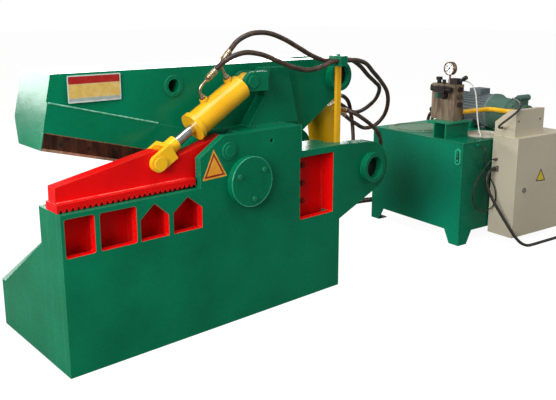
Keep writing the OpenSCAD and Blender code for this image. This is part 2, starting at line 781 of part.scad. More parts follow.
front_route = [elbow_end(front_elbow, front_port, hose_gap), elbow_end(front_elbow, front_port, 26), [980, 54, 1446], [1050, 52, 1473],
  [1130, 55, 1482], [1230, 57, 1466], [1340, 57, 1428], [1460, 57, 1386], [1580, 57, 1364], [1690, 57, 1378], [1760, near_line, 1401],
  [1806, near_line, clamp_z], [post_x, near_line, clamp_z]];
rear_route = [elbow_end(rear_elbow, rear_port, hose_gap), elbow_end(rear_elbow, rear_port, 25), [1092, 98, 1541], [1150, 99, 1568],
  [1220, 100, 1583], [1320, 101, 1578], [1430, 102, 1544], [1540, 103, 1494], [1650, 103, 1442], [1740, far_line, 1412],
  [1806, far_line, clamp_z], [post_x, far_line, clamp_z]];
outer_route = [[post_x, near_line, clamp_z], [1880, near_line, clamp_z], [1930, 58, clamp_z], [2010, 66, 1400], [2120, 95, 1373],
  [2240, 145, 1315], [2370, 185, 1240], [2470, 215, 1160], [2530, 255, 1070], [2552, 305, 980], [2512, 352, 908], [2438, 386, 892],
  [2365, 404, 930], [2300, 413, 971], loop_end(0, 26), loop_end(0, hose_gap)];
inner_route = [[post_x, far_line, clamp_z], [1880, far_line, clamp_z], [1930, 104, clamp_z], [2010, 114, 1398], [2120, 142, 1352],
  [2230, 178, 1290], [2350, 222, 1235], [2440, 262, 1195], [2490, 305, 1150], [2510, 352, 1095], [2492, 395, 1045], [2450, 428, 1010],
  [2400, 448, 1001], [2350, 458, 1020], [2300, 460, 1051], loop_end(1, 26), loop_end(1, hose_gap)];
pressure_route = [main_pt(tee_x, -tee_out - hose_gap, tee_z), main_pt(tee_x, -tee_out - 20, tee_z), [2195, 310, 1042], [2222, 268, 1023],
  [2275, 242, 985], [2350, 238, 935], [2425, 246, 875], [2468, 256, 800], [2450, 262, 715], [2360, 266, 640], [2220, 275, 550],
  [2095, 310, 450], [2000, 400, 340], [1950, 520, 215], [1950, 650, 110], [1990, 780, 35], [2090, 915, 15], [2320, 1085, 15],
  [2650, 1240, 15], [3000, 1310, 15], [3370, 1280, 15], [3670, 1160, 20], [3810, 1030, 70], place(740, 1010, 180),
  place(740, 1004, 450), place(740, 1010, 690), place(725, 975, 815), place(680, 880, 855), place(615, 760, 815),
  place(555, 655, 790), place(490, 530, 788), place(438, 440, 803), place(416, 396, 842), place(400, 372, 884),
  place(374, 358, 922), place(334, 352, 948), place(292, 350, 955), place(268, 350, 955)];
return_route = [main_pt(tee_x + tee_out + hose_gap, tee_y[1], tee_z + tee_rise[1]),
  main_pt(tee_x + tee_out + 26, tee_y[1], tee_z + tee_rise[1]),
  [2300, 464, 1120], [2365, 476, 1075], [2410, 492, 990], [2428, 488, 880], [2395, 455, 760], [2310, 440, 650], [2200, 440, 540],
  [2090, 465, 430], [2010, 540, 320], [1990, 640, 200], [2025, 750, 100], [2095, 840, 35], [2190, 910, 15], [2380, 1020, 15],
  [2670, 1180, 15], [3000, 1250, 15], [3350, 1225, 15], [3620, 1120, 20], [3760, 1000, 70], place(690, 1010, 180),
  place(690, 1004, 450), place(690, 1010, 680), place(680, 985, 800), place(645, 900, 850), place(585, 800, 815),
  place(525, 700, 790), place(455, 570, 788), place(418, 495, 800), place(408, 450, 838), place(398, 425, 882),
  place(373, 410, 921), place(334, 402, 948), place(292, 400, 955), place(268, 400, 955)];

// Route drawn with rings every two or three diameters
module route(p, r, n, up) {
  at(0, 0, 0) tube(p, r, n, 8, up);
}

module holddown_hose_front() {
  color(dark) route(front_route, hose_d / 2, 2, [0, 1, 0]);
}

module holddown_hose_rear() {
  color(dark) route(rear_route, hose_d / 2, 2, [0, 1, 0]);
}

module main_hose_outer() {
  color(dark) route(outer_route, hose_d / 2, 2, [0, 1, 0]);
}

module main_hose_inner() {
  color(dark) route(inner_route, hose_d / 2, 2, [0, 1, 0]);
}

module supply_hose_pressure() {
  color(dark) route(pressure_route, hose_d / 2, 2, [1, 0, 0]);
}

module supply_hose_return() {
  color(dark) route(return_route, hose_d / 2, 2, [0, 0, 1]);
}

// ---------- Power unit ----------

module unit_at(x, y, z) {
  at(unit_x, unit_y, 0) rotate([0, 0, unit_a]) translate([x, y, z]) children();
}

sheet = 6;
foot_l = 140;
foot_low = 90;
big_cover = [240, 700, 222];
small_cover = [428, 178, 148];

// Foot bent round a corner of the tank, tapering to the floor
module foot() {
  translate([0, 8, 0]) rotate([90, 0, 0]) linear_extrude(8) foot_side();
  rotate([90, 0, 90]) linear_extrude(8) foot_side();
  cube([foot_low, foot_low, 8]);
}

module foot_side() {
  polygon([[0, 0], [foot_low, 0], [foot_l, foot_h], [0, foot_h]]);
}

module oil_tank() {
  stand_x = [20, 265];
  stand_y = [160, 374];
  color(green) unit_at(0, 0, 0) {
    difference() {
      translate([0, 0, foot_h]) cube([tank_w, tank_l, tank_z - foot_h]);
      translate([sheet, sheet, foot_h + sheet]) cube([tank_w - 2 * sheet, tank_l - 2 * sheet, tank_z - foot_h - 2 * sheet]);
      for (c = [big_cover, small_cover]) translate([c[0], c[1], tank_z - 20]) cylinder(h = 40, r = c[2] - 22);
    }
    for (i = [0, 1], j = [0, 1]) translate([i * tank_w, j * tank_l, 0]) mirror([i, 0, 0]) mirror([0, j, 0]) foot();
    // valve stand, an open channel along x
    for (y = [stand_y[0] + 30, stand_y[1] - 70]) translate([stand_x[0], y, tank_z]) cube([stand_x[1] - stand_x[0], 8, stand_h - 10]);
    translate([stand_x[0], stand_y[0], tank_z + stand_h - 10]) cube([stand_x[1] - stand_x[0], stand_y[1] - stand_y[0], 10]);
    // rails that carry the cabinet
    for (z = [300, 650]) translate([360, -cab_gap, z]) cube([500, cab_gap, 40]);
    // lifting lug and drain plugs on the left face
    translate([-30, 890, 716]) cube([30, 16, 30]);
    for (z = [674, 701]) translate([-14, 41, z]) rotate([0, 90, 0]) cylinder(h = 15, r = 10);
    // socket of the level sensor
    translate([150, 1, 742]) rotate([90, 0, 0]) cylinder(h = 25, r = 11);
    // motor feet
    for (y = [430, 560], s = [-1, 1]) translate([motor_x + s * foot_in - 22, y, tank_z]) cube([44, 50, 50]);
  }
}

module tank_covers() {
  color(beige) unit_at(0, 0, tank_z) {
    for (c = [big_cover, small_cover]) translate([c[0], c[1], 0]) {
      cylinder(h = 6, r = c[2]);
      difference() {
        cylinder(h = 14, r = c[2] - 30);
        translate([0, 0, 6.5]) cylinder(h = 20, r = c[2] - 42);
      }
      for (a = [0:60:300]) rotate([0, 0, a]) translate([c[2] - 15, 0, 6]) bolt_head(7);
    }
  }
}

block_x = 125;
block_w = 100;
block_y = 215;
block_l = 226;
block_z = tank_z + stand_h;
block_top = block_z + block_h;
port_z = [955, 955];
port_y = [400, 350];
port_out = 43;
pipe_z = 950;
module manifold_block() {
  color("#8a6a4a") unit_at(block_x, block_y, block_z) difference() {
    cube([block_w, block_l, block_h]);
    // oilways: one from each hose port and one from the pump's pipe
    for (i = [0, 1]) translate([block_w - 50, port_y[i] - block_y, port_z[i] - block_z]) rotate([0, 90, 0]) cylinder(h = 60, r = 9);
    translate([block_w - 40, 250 - block_y, pipe_z - block_z]) rotate([0, 90, 0]) cylinder(h = 60, r = 12);
  }
}

module control_valves() {
  color(dark) unit_at(0, 0, 0) {
    // solenoid valve with its two coils, on the left face
    translate([block_x - 52, 275, block_top - 60]) cube([52, 100, 46]);
    translate([block_x - 26, 265, block_top - 37]) rotate([-90, 0, 0]) translate([0, 0, -38]) cylinder(h = 48, r = 20);
    translate([block_x - 26, 375, block_top - 37]) rotate([-90, 0, 0]) cylinder(h = 44, r = 20);
    // cartridge valves below it and on the near face
    for (p = [[300, 1082, 28], [352, 1078, 20]]) translate([block_x - 46, p[0], p[1]]) rotate([0, 90, 0]) {
      cylinder(h = 46, r = p[2] * 0.8);
      translate([0, 0, 14]) cylinder(h = 20, r = p[2]);
    }
    for (z = [1130, 1074, 1016]) translate([177, block_y - 18, z]) rotate([-90, 0, 0]) cylinder(h = 18, r = 19);
    // valves on the top: check valve, shut-off and relief valve
    translate([150, 395, block_top]) { cylinder(h = 26, r = 16); translate([0, 0, 26]) cylinder(h = 22, r = 24); }
    translate([150, 345, block_top]) cylinder(h = 30, r = 14);
    translate([150, 222, block_top]) cube([60, 70, 44]);
    translate(knob_c) rotate([60, 0, 0]) translate([0, 0, -8]) cylinder(h = 22, r = 14);
    // fitting of the drain tube
    translate([209, 250, 1187]) rotate([0, 90, 0]) cylinder(h = 15, r = 8);
    // fittings of the two supply hoses, and blind fittings on the far face
    for (i = [0, 1]) translate([block_x + block_w, port_y[i], port_z[i]]) rotate([0, 90, 0]) {
      cylinder(h = 14, r = 20, $fn = 6);
      cylinder(h = port_out, r = 16);
    }
    for (z = [1136, 958]) translate([block_x + 25, block_y + block_l, z]) rotate([-90, 0, 0]) cylinder(h = 26, r = 18);
  }
}

gauge_c = [185, 322, 1278];
module pressure_gauge() {
  color("#c8c8c4") unit_at(gauge_c.x, gauge_c.y, gauge_c.z) difference() {
    union() {
      translate([-18, 0, 0]) rotate([0, 90, 0]) cylinder(h = 36, r = gauge_r);
      translate([0, 0, block_top - gauge_c.z]) cylinder(h = gauge_c.z - block_top - gauge_r + 8, r = 8);
      translate([0, 0, block_top - gauge_c.z + 10]) cylinder(h = 20, r = 14, $fn = 6);
    }
    translate([-30, 0, 0]) rotate([0, 90, 0]) cylinder(h = 20, r = gauge_r - 5);
    translate([-20, 0, 0]) rotate([0, 90, 0]) cylinder(h = 16, r = 3 + run_gap);
  }
}

module gauge_needle() {
  color("#202020") unit_at(gauge_c.x, gauge_c.y, gauge_c.z) {
    translate([-16, 0, 0]) rotate([0, 90, 0]) cylinder(h = 10, r = 3);
    translate([-15, 0, 0]) rotate([-130, 0, 0]) rotate([0, 90, 0]) linear_extrude(1.5)
      polygon([[-gauge_r + 14, 0], [0, -2.4], [10, -2.4], [10, 2.4], [0, 2.4]]);
  }
}

// Adjusting knob of the relief valve, leaning to the near side
knob_c = [180, 222, 1187];
module relief_knob() {
  color(dark) unit_at(knob_c.x, knob_c.y, knob_c.z) rotate([60, 0, 0]) {
    translate([0, 0, 14.3]) cylinder(h = 26, r = 12);
    translate([0, 0, 40]) cylinder(h = 34, r = 17, $fn = 6);
  }
}

motor_x = 720;
motor_z = 915;
motor_y = 300;
rotor_r = 78;
// Middle of a motor foot, from the motor's axis
foot_in = 118;

// Axis of the motor and the pump: Z runs from the pump to the fan
module motor_axis(y) {
  unit_at(motor_x, y, motor_z) rotate([-90, 0, 0]) children();
}

module motor_housing() {
  color("#6f7f7d") {
    motor_axis(motor_y) difference() {
      union() {
        cylinder(h = 18, r = motor_r + 7);
        translate([0, 0, 18]) cylinder(h = motor_l - 90, r = motor_r - 9);
        translate([0, 0, motor_l - 80]) cylinder(h = 80, r = motor_r);
        for (a = [0:10:350]) rotate([0, 0, a]) translate([motor_r - 12, -1.5, 30]) cube([12, 3, motor_l - 120]);
      }
      translate([0, 0, -1]) cylinder(h = 500, r = 20 + run_gap);
      translate([0, 0, 24]) cylinder(h = motor_l - 120, r = rotor_r + 1);
      translate([0, 0, motor_l - 76]) cylinder(h = 72, r = motor_r - 4);
    }
    // feet
    for (y = [430, 560], s = [-1, 1]) {
      unit_at(motor_x + s * foot_in - 22, y, tank_z + 50) cube([44, 50, 16]);
      unit_at(motor_x + s * (foot_in - 30) - 25, y + 8, tank_z + 50) cube([50, 34, 30]);
    }
    // terminal box on the top
    unit_at(motor_x - 60, 420, motor_z + motor_r - 14) cube([120, 110, 52]);
  }
}

coupling_l = 195;
module motor_rotor() {
  color(steel) motor_axis(motor_y) {
    translate([0, 0, -coupling_l]) cylinder(h = motor_l + coupling_l - 12, r = 20);
    translate([0, 0, 30]) cylinder(h = motor_l - 132, r = rotor_r);
    translate([0, 0, -115]) cylinder(h = 90, r = 48);
    translate([0, 0, motor_l - 62]) cylinder(h = 10, r = 90);
    for (a = [0:60:300]) rotate([0, 0, a]) translate([30, -2, motor_l - 53]) cube([85, 4, 34]);
  }
}

bell_l = 180;
module bell_housing() {
  color("#5f7f73") motor_axis(motor_y - bell_l) difference() {
    rotate_extrude() polygon([[0, 0], [95, 0], [95, 18], [112, 30], [120, 130], [motor_r + 7, 162], [motor_r + 7, bell_l], [0, bell_l]]);
    translate([0, 0, -1]) cylinder(h = bell_l + 2, r = 26);
    translate([0, 0, 26]) cylinder(h = bell_l, r = 95);
  }
}

pump_port = [-104, 60, 35];
module hydraulic_pump() {
  color("#4f6a62") motor_axis(motor_y - bell_l) {
    difference() {
      union() {
        translate([0, 0, -18]) cylinder(h = 18, r = 92);
        translate([0, 0, -120]) cylinder(h = 110, r = 78);
        translate([0, 0, -4]) cylinder(h = 10, r = 26 - run_gap);
      }
      translate([0, 0, -20]) cylinder(h = 60, r = 20 + run_gap);
    }
  }
  // side port, pressure regulator and terminal block on the top
  color(dark) {
    unit_at(motor_x + pump_port.x, pump_port.y, motor_z + pump_port.z) rotate([0, 90, 0]) cylinder(h = 60, r = 24);
    unit_at(motor_x - 50, 40, motor_z + 60) cube([100, 70, 50]);
    unit_at(motor_x - 60, 52, motor_z + 132) rotate([0, 90, 0]) cylinder(h = 120, r = 24);
    unit_at(motor_x - 86, 52, motor_z + 132) rotate([0, 90, 0]) cylinder(h = 26, r = 15);
  }
}

pipe_r = 18;
bend_r = 45;
module quarter(x, y, a) {
  unit_at(x, y, pipe_z) rotate([0, 0, a]) rotate_extrude(angle = 90) translate([bend_r, 0]) circle(pipe_r);
}

module delivery_pipe() {
  pipe_x = motor_x + pump_port.x - 2 * bend_r;
  pipe_y = 250;
  color(yellow) {
    unit_at(block_x + block_w, pipe_y, pipe_z) rotate([0, 90, 0]) cylinder(h = 16, r = pipe_r + 8);
    unit_at(block_x + block_w, pipe_y, pipe_z) rotate([0, 90, 0]) cylinder(h = pipe_x - block_x - block_w, r = pipe_r);
    quarter(pipe_x, pipe_y - bend_r, 0);
    unit_at(pipe_x + bend_r, pipe_y - bend_r, pipe_z) rotate([90, 0, 0]) cylinder(h = pipe_y - pump_port.y - 2 * bend_r, r = pipe_r);
    quarter(pipe_x + 2 * bend_r, pump_port.y + bend_r, 180);
  }
}

drain_d = 10;
drain_route = [place(224, 250, 1187), place(244, 250, 1187), place(270, 232, 1184), place(288, 200, 1164), place(297, 172, 1120),
  place(299, 158, 1065), place(299, 149, 1010), place(298, 138, 940), place(296, 122, 870), place(293, 106, 820),
  place(290, 90, 795), place(290, 90, tank_z)];
module drain_tube() {
  color("#dcdcd6") route(drain_route, drain_d / 2, 2, [0, 1, 0]);
}

// ---------- Cabinet and console ----------

cab_x = 316;
cab_gap = 10;
cab_top = cab_z + cab_h;
door_t = 18;
door_gap = 1;
lip = 24;
hinge_out = 7;
hinge_r = 6.5;
hinge_l = 56;
lock_x = 107;
lock_z = 352;
lock_r = 11;
mains_y = -54;
mains_z = 559;
sensor_z = 631;
gland_out = 34;
mains_out = 18;
box_y = -cab_gap - cab_d + door_t + door_gap;

module cabinet_box() {
  color(beige) {
    unit_at(cab_x, box_y, cab_z) difference() {
      cube([cab_w, -cab_gap - box_y, cab_h]);
      translate([wall, wall, wall]) cube([cab_w - 2 * wall, -cab_gap - box_y - 2 * wall, cab_h - 2 * wall]);
      translate([lip, -1, lip]) cube([cab_w - 2 * lip, wall + 2, cab_h - 2 * lip]);
    }
    // glands on the left side
    unit_at(cab_x - mains_out, mains_y, mains_z) rotate([0, 90, 0]) cylinder(h = mains_out, r = 17);
    unit_at(cab_x - 14, mains_y, mains_z) rotate([0, 90, 0]) cylinder(h = 14, r = 21, $fn = 6);
    unit_at(cab_x - gland_out, mains_y, sensor_z) rotate([0, 90, 0]) cylinder(h = gland_out, r = 9);
    unit_at(cab_x - 12, mains_y, sensor_z) rotate([0, 90, 0]) cylinder(h = 12, r = 12, $fn = 6);
    // lower knuckles of the two hinges with their pins
    for (z = [100, cab_h - 100 - 2 * hinge_l]) unit_at(cab_x + cab_w, box_y, cab_z + z) {
      translate([hinge_out, 0, 0]) cylinder(h = hinge_l, r = hinge_r);
      translate([hinge_out, 0, 0]) cylinder(h = 2 * hinge_l, r = 3);
      translate([0, 0, 0]) cube([hinge_out, 30, hinge_l]);
    }
  }
}

module cabinet_door() {
  z_in = 2;
  color(beige) difference() {
    union() {
      unit_at(cab_x + 0.5, -cab_gap - cab_d, cab_z + 1) difference() {
        cube([cab_w - 1, door_t, cab_h - 2]);
        translate([z_in, z_in, z_in]) cube([cab_w - 1 - 2 * z_in, door_t, cab_h - 2 - 2 * z_in]);
      }
      for (z = [100, cab_h - 100 - 2 * hinge_l]) unit_at(cab_x + cab_w, box_y, cab_z + z + hinge_l + 0.5) {
        translate([hinge_out, 0, 0]) cylinder(h = hinge_l, r = hinge_r);
        translate([-1.5, -door_t + 3, 0]) cube([hinge_out + 1.5, door_t - 4, hinge_l]);
      }
      unit_at(cab_x + lock_x, -cab_gap - cab_d, cab_z + lock_z) rotate([-90, 0, 0]) cylinder(h = door_t - 2, r = lock_r + 5);
    }
    unit_at(cab_x + lock_x, -cab_gap - cab_d - 1, cab_z + lock_z) rotate([-90, 0, 0]) cylinder(h = door_t + 4, r = lock_r + run_gap);
    for (z = [100, cab_h - 100 - 2 * hinge_l]) unit_at(cab_x + cab_w + hinge_out, box_y, cab_z + z + hinge_l - 1)
      cylinder(h = hinge_l + 4, r = 3 + run_gap);
  }
}

// Quarter-turn lock: round head with a slot, barrel and a long cam
module door_lock() {
  color("#b8b8b4") unit_at(cab_x + lock_x, -cab_gap - cab_d, cab_z + lock_z) rotate([-90, 0, 0]) {
    difference() {
      translate([0, 0, -6.3]) cylinder(h = 6, r = lock_r + 5);
      translate([-2, -12, -8]) cube([4, 24, 4]);
    }
    translate([0, 0, -2]) cylinder(h = door_t + wall + 10, r = lock_r);
    translate([-9, -88, door_t + wall + 6]) cube([18, 97, 3]);
  }
}

module switchgear() {
  plate_y = -cab_gap - wall - 24;
  color("#b9bdb9") unit_at(cab_x + 40, plate_y, cab_z + 50) {
    cube([cab_w - 80, 3, cab_h - 100]);
    for (x = [20, cab_w - 110], z = [20, cab_h - 130]) translate([x, 2, z]) rotate([-90, 0, 0]) cylinder(h = 22, r = 8);
    // rails with contactors, breaker, transformer and terminals
    for (z = [120, 320, 520]) translate([30, -8, z]) cube([cab_w - 140, 8, 35]);
    for (i = [0:2]) translate([60 + i * 130, -95, 285]) cube([80, 90, 105]);
    translate([60, -80, 485]) cube([110, 75, 105]);
    translate([250, -90, 490]) cube([130, 85, 95]);
    for (i = [0:9]) translate([60 + i * 36, -55, 112]) cube([30, 50, 52]);
  }
}

con_x = 325;
con_w = 325;
con_top = 198;
con_rear = 98;
con_gland_y = -105;
con_gland_z = 68;
slope_low = [-10, con_rear];
slope_high = [-135, 195];
slope_a = atan2(slope_high.y - slope_low.y, slope_low.x - slope_high.x);

module console_side(t) {
  polygon([[-190 + t, t], [-10 - t, t], [-10 - t, con_rear - t / 2], [slope_high.x - t / 2, slope_high.y - t], [-190 + t, con_top - t]]);
}

// Middle of the sloping panel, Z out of it, X along the console
module on_slope(x) {
  unit_at(con_x + x, (slope_low.x + slope_high.x) / 2, cab_top + (slope_low.y + slope_high.y) / 2) rotate([-slope_a, 0, 0]) children();
}

start_x = 90;
stop_x = 220;
module control_console() {
  color(beige) difference() {
    union() {
      unit_at(con_x, 0, cab_top) difference() {
        rotate([90, 0, 90]) linear_extrude(con_w) console_side(0);
        translate([wall, 0, 0]) rotate([90, 0, 90]) linear_extrude(con_w - 2 * wall) console_side(wall);
      }
      unit_at(con_x - gland_out, con_gland_y, cab_top + con_gland_z) rotate([0, 90, 0]) cylinder(h = gland_out + 1, r = 13);
      unit_at(con_x - 14, con_gland_y, cab_top + con_gland_z) rotate([0, 90, 0]) cylinder(h = 15, r = 17, $fn = 6);
      for (x = [start_x, stop_x]) on_slope(x) translate([0, 0, -1]) cylinder(h = 6, r = 19);
      for (x = [33, con_w - 47]) unit_at(con_x + x, -190, cab_top + 118) rotate([90, 0, 0]) cylinder(h = 3, r = 6);
    }
    for (x = [start_x, stop_x]) on_slope(x) translate([0, 0, -20]) cylinder(h = 60, r = 12 + run_gap);
  }
}

module start_button() {
  color("#1f8a3a") on_slope(start_x) translate([0, 0, -16]) cylinder(h = 26, r = 12);
}

module emergency_stop() {
  color("#c01818") on_slope(stop_x) {
    translate([0, 0, -16]) cylinder(h = 29, r = 12);
    translate([0, 0, 12]) cylinder(h = 10, r1 = 20, r2 = 22);
    translate([0, 0, 22]) cylinder(h = 6, r1 = 22, r2 = 14);
  }
}

mains_d = 22;
control_d = 16;
sensor_d = 9;
coil_x = 1270;
coil_y = -190;
coil_r = 120;
coil_t = 34;
mains_route = [place(cab_x - mains_out, mains_y, mains_z), place(282, -54, 559), place(254, -55, 554), place(230, -57, 540),
  place(212, -60, 518), place(203, -64, 490), place(202, -71, 452), place(210, -88, 400), place(226, -112, 345), place(244, -148, 280),
  place(264, -186, 215), place(284, -224, 152), place(308, -262, 90), place(345, -294, 40), place(400, -310, 16), place(470, -312, 12),
  place(550, -312, 12), place(640, -312, 12), place(740, -312, 12), place(840, -312, 12), place(940, -312, 12),
  place(1030, -312, 12), place(1110, -311, 13), place(1184, -310, 14)];
sensor_route = [place(cab_x - gland_out, mains_y, sensor_z), place(262, -54, 631), place(215, -50, 600), place(160, -44, 538),
  place(115, -38, 470), place(94, -34, 400), place(104, -32, 330), place(145, -32, 278), place(200, -33, 248), place(256, -42, 246),
  place(292, -62, 275), place(300, -78, 335), place(294, -72, 405), place(272, -50, 475), place(236, -36, 545),
  place(200, -38, 600), place(174, -52, 648), place(157, -72, 684), place(150, -80, 708), place(150, -71, 731),
  place(150, -50, 742), place(150, -24, 742)];
control_route = [place(con_x - gland_out, con_gland_y, cab_top + con_gland_z), place(266, con_gland_y, cab_top + con_gland_z),
  place(232, -118, 887), place(214, -150, 912), place(226, -186, 945), place(268, -206, 980), place(320, -206, 1008),
  place(375, -184, 1032), place(425, -146, 1046), place(468, -94, 1054), place(502, -51, 1057), place(532, -12, 1056),
  place(560, 26, 1053), place(584, 45, 1049), place(612, 52, motor_z + 132), place(motor_x - 86, 52, motor_z + 132)];

module mains_cable() {
  color(dark) route(mains_route, mains_d / 2, 2, [0, 0, 1]);
}

module motor_cable() {
  color(dark) route(control_route, control_d / 2, 2, [0, 0, 1]);
}

module sensor_cable() {
  color(dark) route(sensor_route, sensor_d / 2, 3, [0, 0, 1]);
}

// Spare length of the mains cable, wound in a coil on the floor
module mains_coil() {
  color(dark) unit_at(coil_x, coil_y, coil_t) rotate_extrude() translate([coil_r, 0]) circle(coil_t);
}

module mains_plug() {
  color("#b02020") unit_at(coil_x + 96, coil_y - coil_r, coil_t) rotate([0, 90, 0]) {
    cylinder(h = 45, r1 = 13, r2 = 17);
    translate([0, 0, 45]) cylinder(h = 60, r = 29);
    difference() {
      translate([0, 0, 105]) cylinder(h = 50, r = coil_t);
      translate([0, 0, 112]) cylinder(h = 50, r = coil_t - 4);
    }
    for (a = [0:72:288]) rotate([0, 0, a]) translate([17, 0, 104]) cylinder(h = 40, r = 3.5);
  }
}

near_side_plate();
inner_jaw_plate();
far_side_plate();
base_box();
holddown_bracket();
window_plates();
frame_bolts();
lower_blade();
pivot_shaft();
pivot_covers();
frame_pins();
hose_post();
hose_clamp();
upper_arm();
upper_blade();
upper_blade_bolts();
arm_bush();
tail_pin();
main_barrel();
main_gland();
main_port_tees();
main_rod();
holddown_arm();
clevis_pin();
holddown_barrel();
holddown_gland();
holddown_elbows();
holddown_rod();
holddown_clevis();
holddown_hose_front();
holddown_hose_rear();
main_hose_outer();
main_hose_inner();
supply_hose_pressure();
supply_hose_return();
oil_tank();
tank_covers();
manifold_block();
control_valves();
pressure_gauge();
gauge_needle();
relief_knob();
motor_housing();
motor_rotor();
bell_housing();
hydraulic_pump();
delivery_pipe();
drain_tube();
cabinet_box();
cabinet_door();
door_lock();
switchgear();
control_console();
start_button();
emergency_stop();
mains_cable();
mains_coil();
mains_plug();
motor_cable();
sensor_cable();
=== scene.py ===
"""Looks of a hydraulic alligator shear with its power unit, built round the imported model."""
import math

import bmesh
import bpy
from mathutils import Matrix, Vector


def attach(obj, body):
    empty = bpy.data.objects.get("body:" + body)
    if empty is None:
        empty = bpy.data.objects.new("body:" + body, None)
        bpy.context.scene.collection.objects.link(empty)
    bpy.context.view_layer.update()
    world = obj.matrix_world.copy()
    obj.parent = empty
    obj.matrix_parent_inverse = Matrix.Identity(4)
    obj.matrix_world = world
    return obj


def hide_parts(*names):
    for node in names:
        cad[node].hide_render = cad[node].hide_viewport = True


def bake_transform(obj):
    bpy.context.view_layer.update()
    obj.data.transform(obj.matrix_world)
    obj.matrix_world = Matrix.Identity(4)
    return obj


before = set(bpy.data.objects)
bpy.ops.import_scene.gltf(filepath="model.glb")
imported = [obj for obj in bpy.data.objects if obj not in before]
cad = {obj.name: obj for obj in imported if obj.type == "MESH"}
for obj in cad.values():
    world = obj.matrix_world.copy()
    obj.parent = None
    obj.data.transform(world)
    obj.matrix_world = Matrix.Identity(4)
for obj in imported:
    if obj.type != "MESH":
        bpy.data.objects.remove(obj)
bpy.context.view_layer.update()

# ---------- Camera ----------
# A person's eye height to the left of the jaw, over the top of the machine and looking slightly down. The lens
# is a little longer than normal, and shifted by a small part of the frame.
EYE = (-2.158, -3.354, 1.696)
LOOK_DOWN, LOOK_RIGHT = 12.315, 41.308  # degrees below level, and clockwise from straight across the frame
camera_data = bpy.data.cameras.new("camera")
camera_data.lens = 45.7
camera_data.sensor_width = 36
camera_data.shift_x, camera_data.shift_y = -0.0080, -0.0617
camera_data.clip_end = 100
camera = bpy.data.objects.new("camera", camera_data)
camera.location = EYE
camera.rotation_euler = (math.radians(90 - LOOK_DOWN), 0, math.radians(-LOOK_RIGHT))
bpy.context.scene.collection.objects.link(camera)
bpy.context.scene.camera = camera
bpy.context.scene.view_settings.view_transform = "Standard"

# ---------- Hoses and cables ----------
# Rubber hydraulic hoses with steel ferrules crimped on, and round cables with moulded ends.
# Each follows the same route as its solid; routes are in millimetres from the front of the jaw
# and the near side plate, like the plates of the frame.
FRAME_ORIGIN = Vector((900, 411, 0))  # where the shared frame has its zero
ROUTE_STEP = 12  # mm between the points of a smoothed route


def metres(point):
    """A point in millimetres of the frame, in metres of the shared frame."""
    return (Vector(point) - FRAME_ORIGIN) / 1000


def smooth(points, step):
    """Points about step millimetres apart on one smooth curve through all the given points."""
    p = [Vector(q) for q in points]
    out = []
    for i in range(len(p) - 1):
        b, c = p[i], p[i + 1]
        a = p[i - 1] if i else 2 * b - c
        d = p[i + 2] if i < len(p) - 2 else 2 * c - b
        n = max(2, round((c - b).length * 1000 / step))
        for k in range(n):
            t = k / n
            out.append(0.5 * (2 * b + t * (c - a) + t * t * (2 * a - 5 * b + 4 * c - d)
                              + t ** 3 * (3 * b - 3 * c + d - a)))
    return out + [p[-1]]


def link(name, mesh, smooth_faces=False):
    """A new object of that mesh, in the scene."""
    piece = bpy.data.objects.new(name, mesh)
    bpy.context.scene.collection.objects.link(piece)
    for face in mesh.polygons:
        face.use_smooth = smooth_faces
    return piece


def tube(name, path, radius, sides=16):
    """Closed round tube along a path of points in metres; radius is a number or one for each point."""
    radii = radius if isinstance(radius, list) else [radius] * len(path)
    ahead, behind = path[1:] + path[-1:], path[:1] + path[:-1]
    headings = [(b - a).normalized() for a, b in zip(behind, ahead)]
    side = headings[0].orthogonal().normalized()
    verts, faces = [], []
    for p, h, r in zip(path, headings, radii):
        side = (side - h * side.dot(h)).normalized()
        other = h.cross(side)
        verts += [p + r * (side * math.cos(math.tau * j / sides) + other * math.sin(math.tau * j / sides))
                  for j in range(sides)]
    for i in range(len(path) - 1):
        for j in range(sides):
            a, b = i * sides + j, i * sides + (j + 1) % sides
            faces.append((a, b, b + sides, a + sides))
    last = (len(path) - 1) * sides
    faces += [tuple(reversed(range(sides))), tuple(last + j for j in range(sides))]
    mesh = bpy.data.meshes.new(name)
    mesh.from_pydata(verts, [], faces)
    piece = link(name, mesh, True)
    for face in mesh.polygons[-2:]:
        face.use_smooth = False
    return piece


def linear(colour):
    """Linear RGBA of an sRGB hex colour."""
    rgb = [int(colour[i:i + 2], 16) / 255 for i in (1, 3, 5)]
    return [c / 12.92 if c <= 0.04045 else ((c + 0.055) / 1.055) ** 2.4 for c in rgb] + [1]


def add_node(material, kind, settings=(), **inputs):
    """A node of that kind with its settings, its colour stops among them, and its inputs.

    An input that is a socket is linked, and any other is set as a value; i3 is the input at place 3."""
    made = material.node_tree.nodes.new(kind)
    for key, value in dict(settings).items():
        if key == "stops":
            for stop, (where, colour) in zip(made.color_ramp.elements, value):
                stop.position, stop.color = where, linear(colour)
        else:
            setattr(made, key, value)
    for key, value in inputs.items():
        spot = made.inputs[int(key[1:]) if key[0] == "i" and key[1:].isdigit() else key.replace("_", " ")]
        if isinstance(value, bpy.types.NodeSocket):
            material.node_tree.links.new(value, spot)
        else:
            spot.default_value = value
    return made


def new_material(name):
    """Node material with the piece's own coordinates as its only node; returns both."""
    made = bpy.data.materials.new(name)
    made.use_nodes = True
    made.node_tree.nodes.clear()
    return made, add_node(made, "ShaderNodeTexCoord").outputs["Object"]


def coat(piece, material):
    """Gives a piece, or a CAD node by name, that one material."""
    data = (cad[piece] if isinstance(piece, str) else piece).data
    data.materials.clear()
    data.materials.append(material)


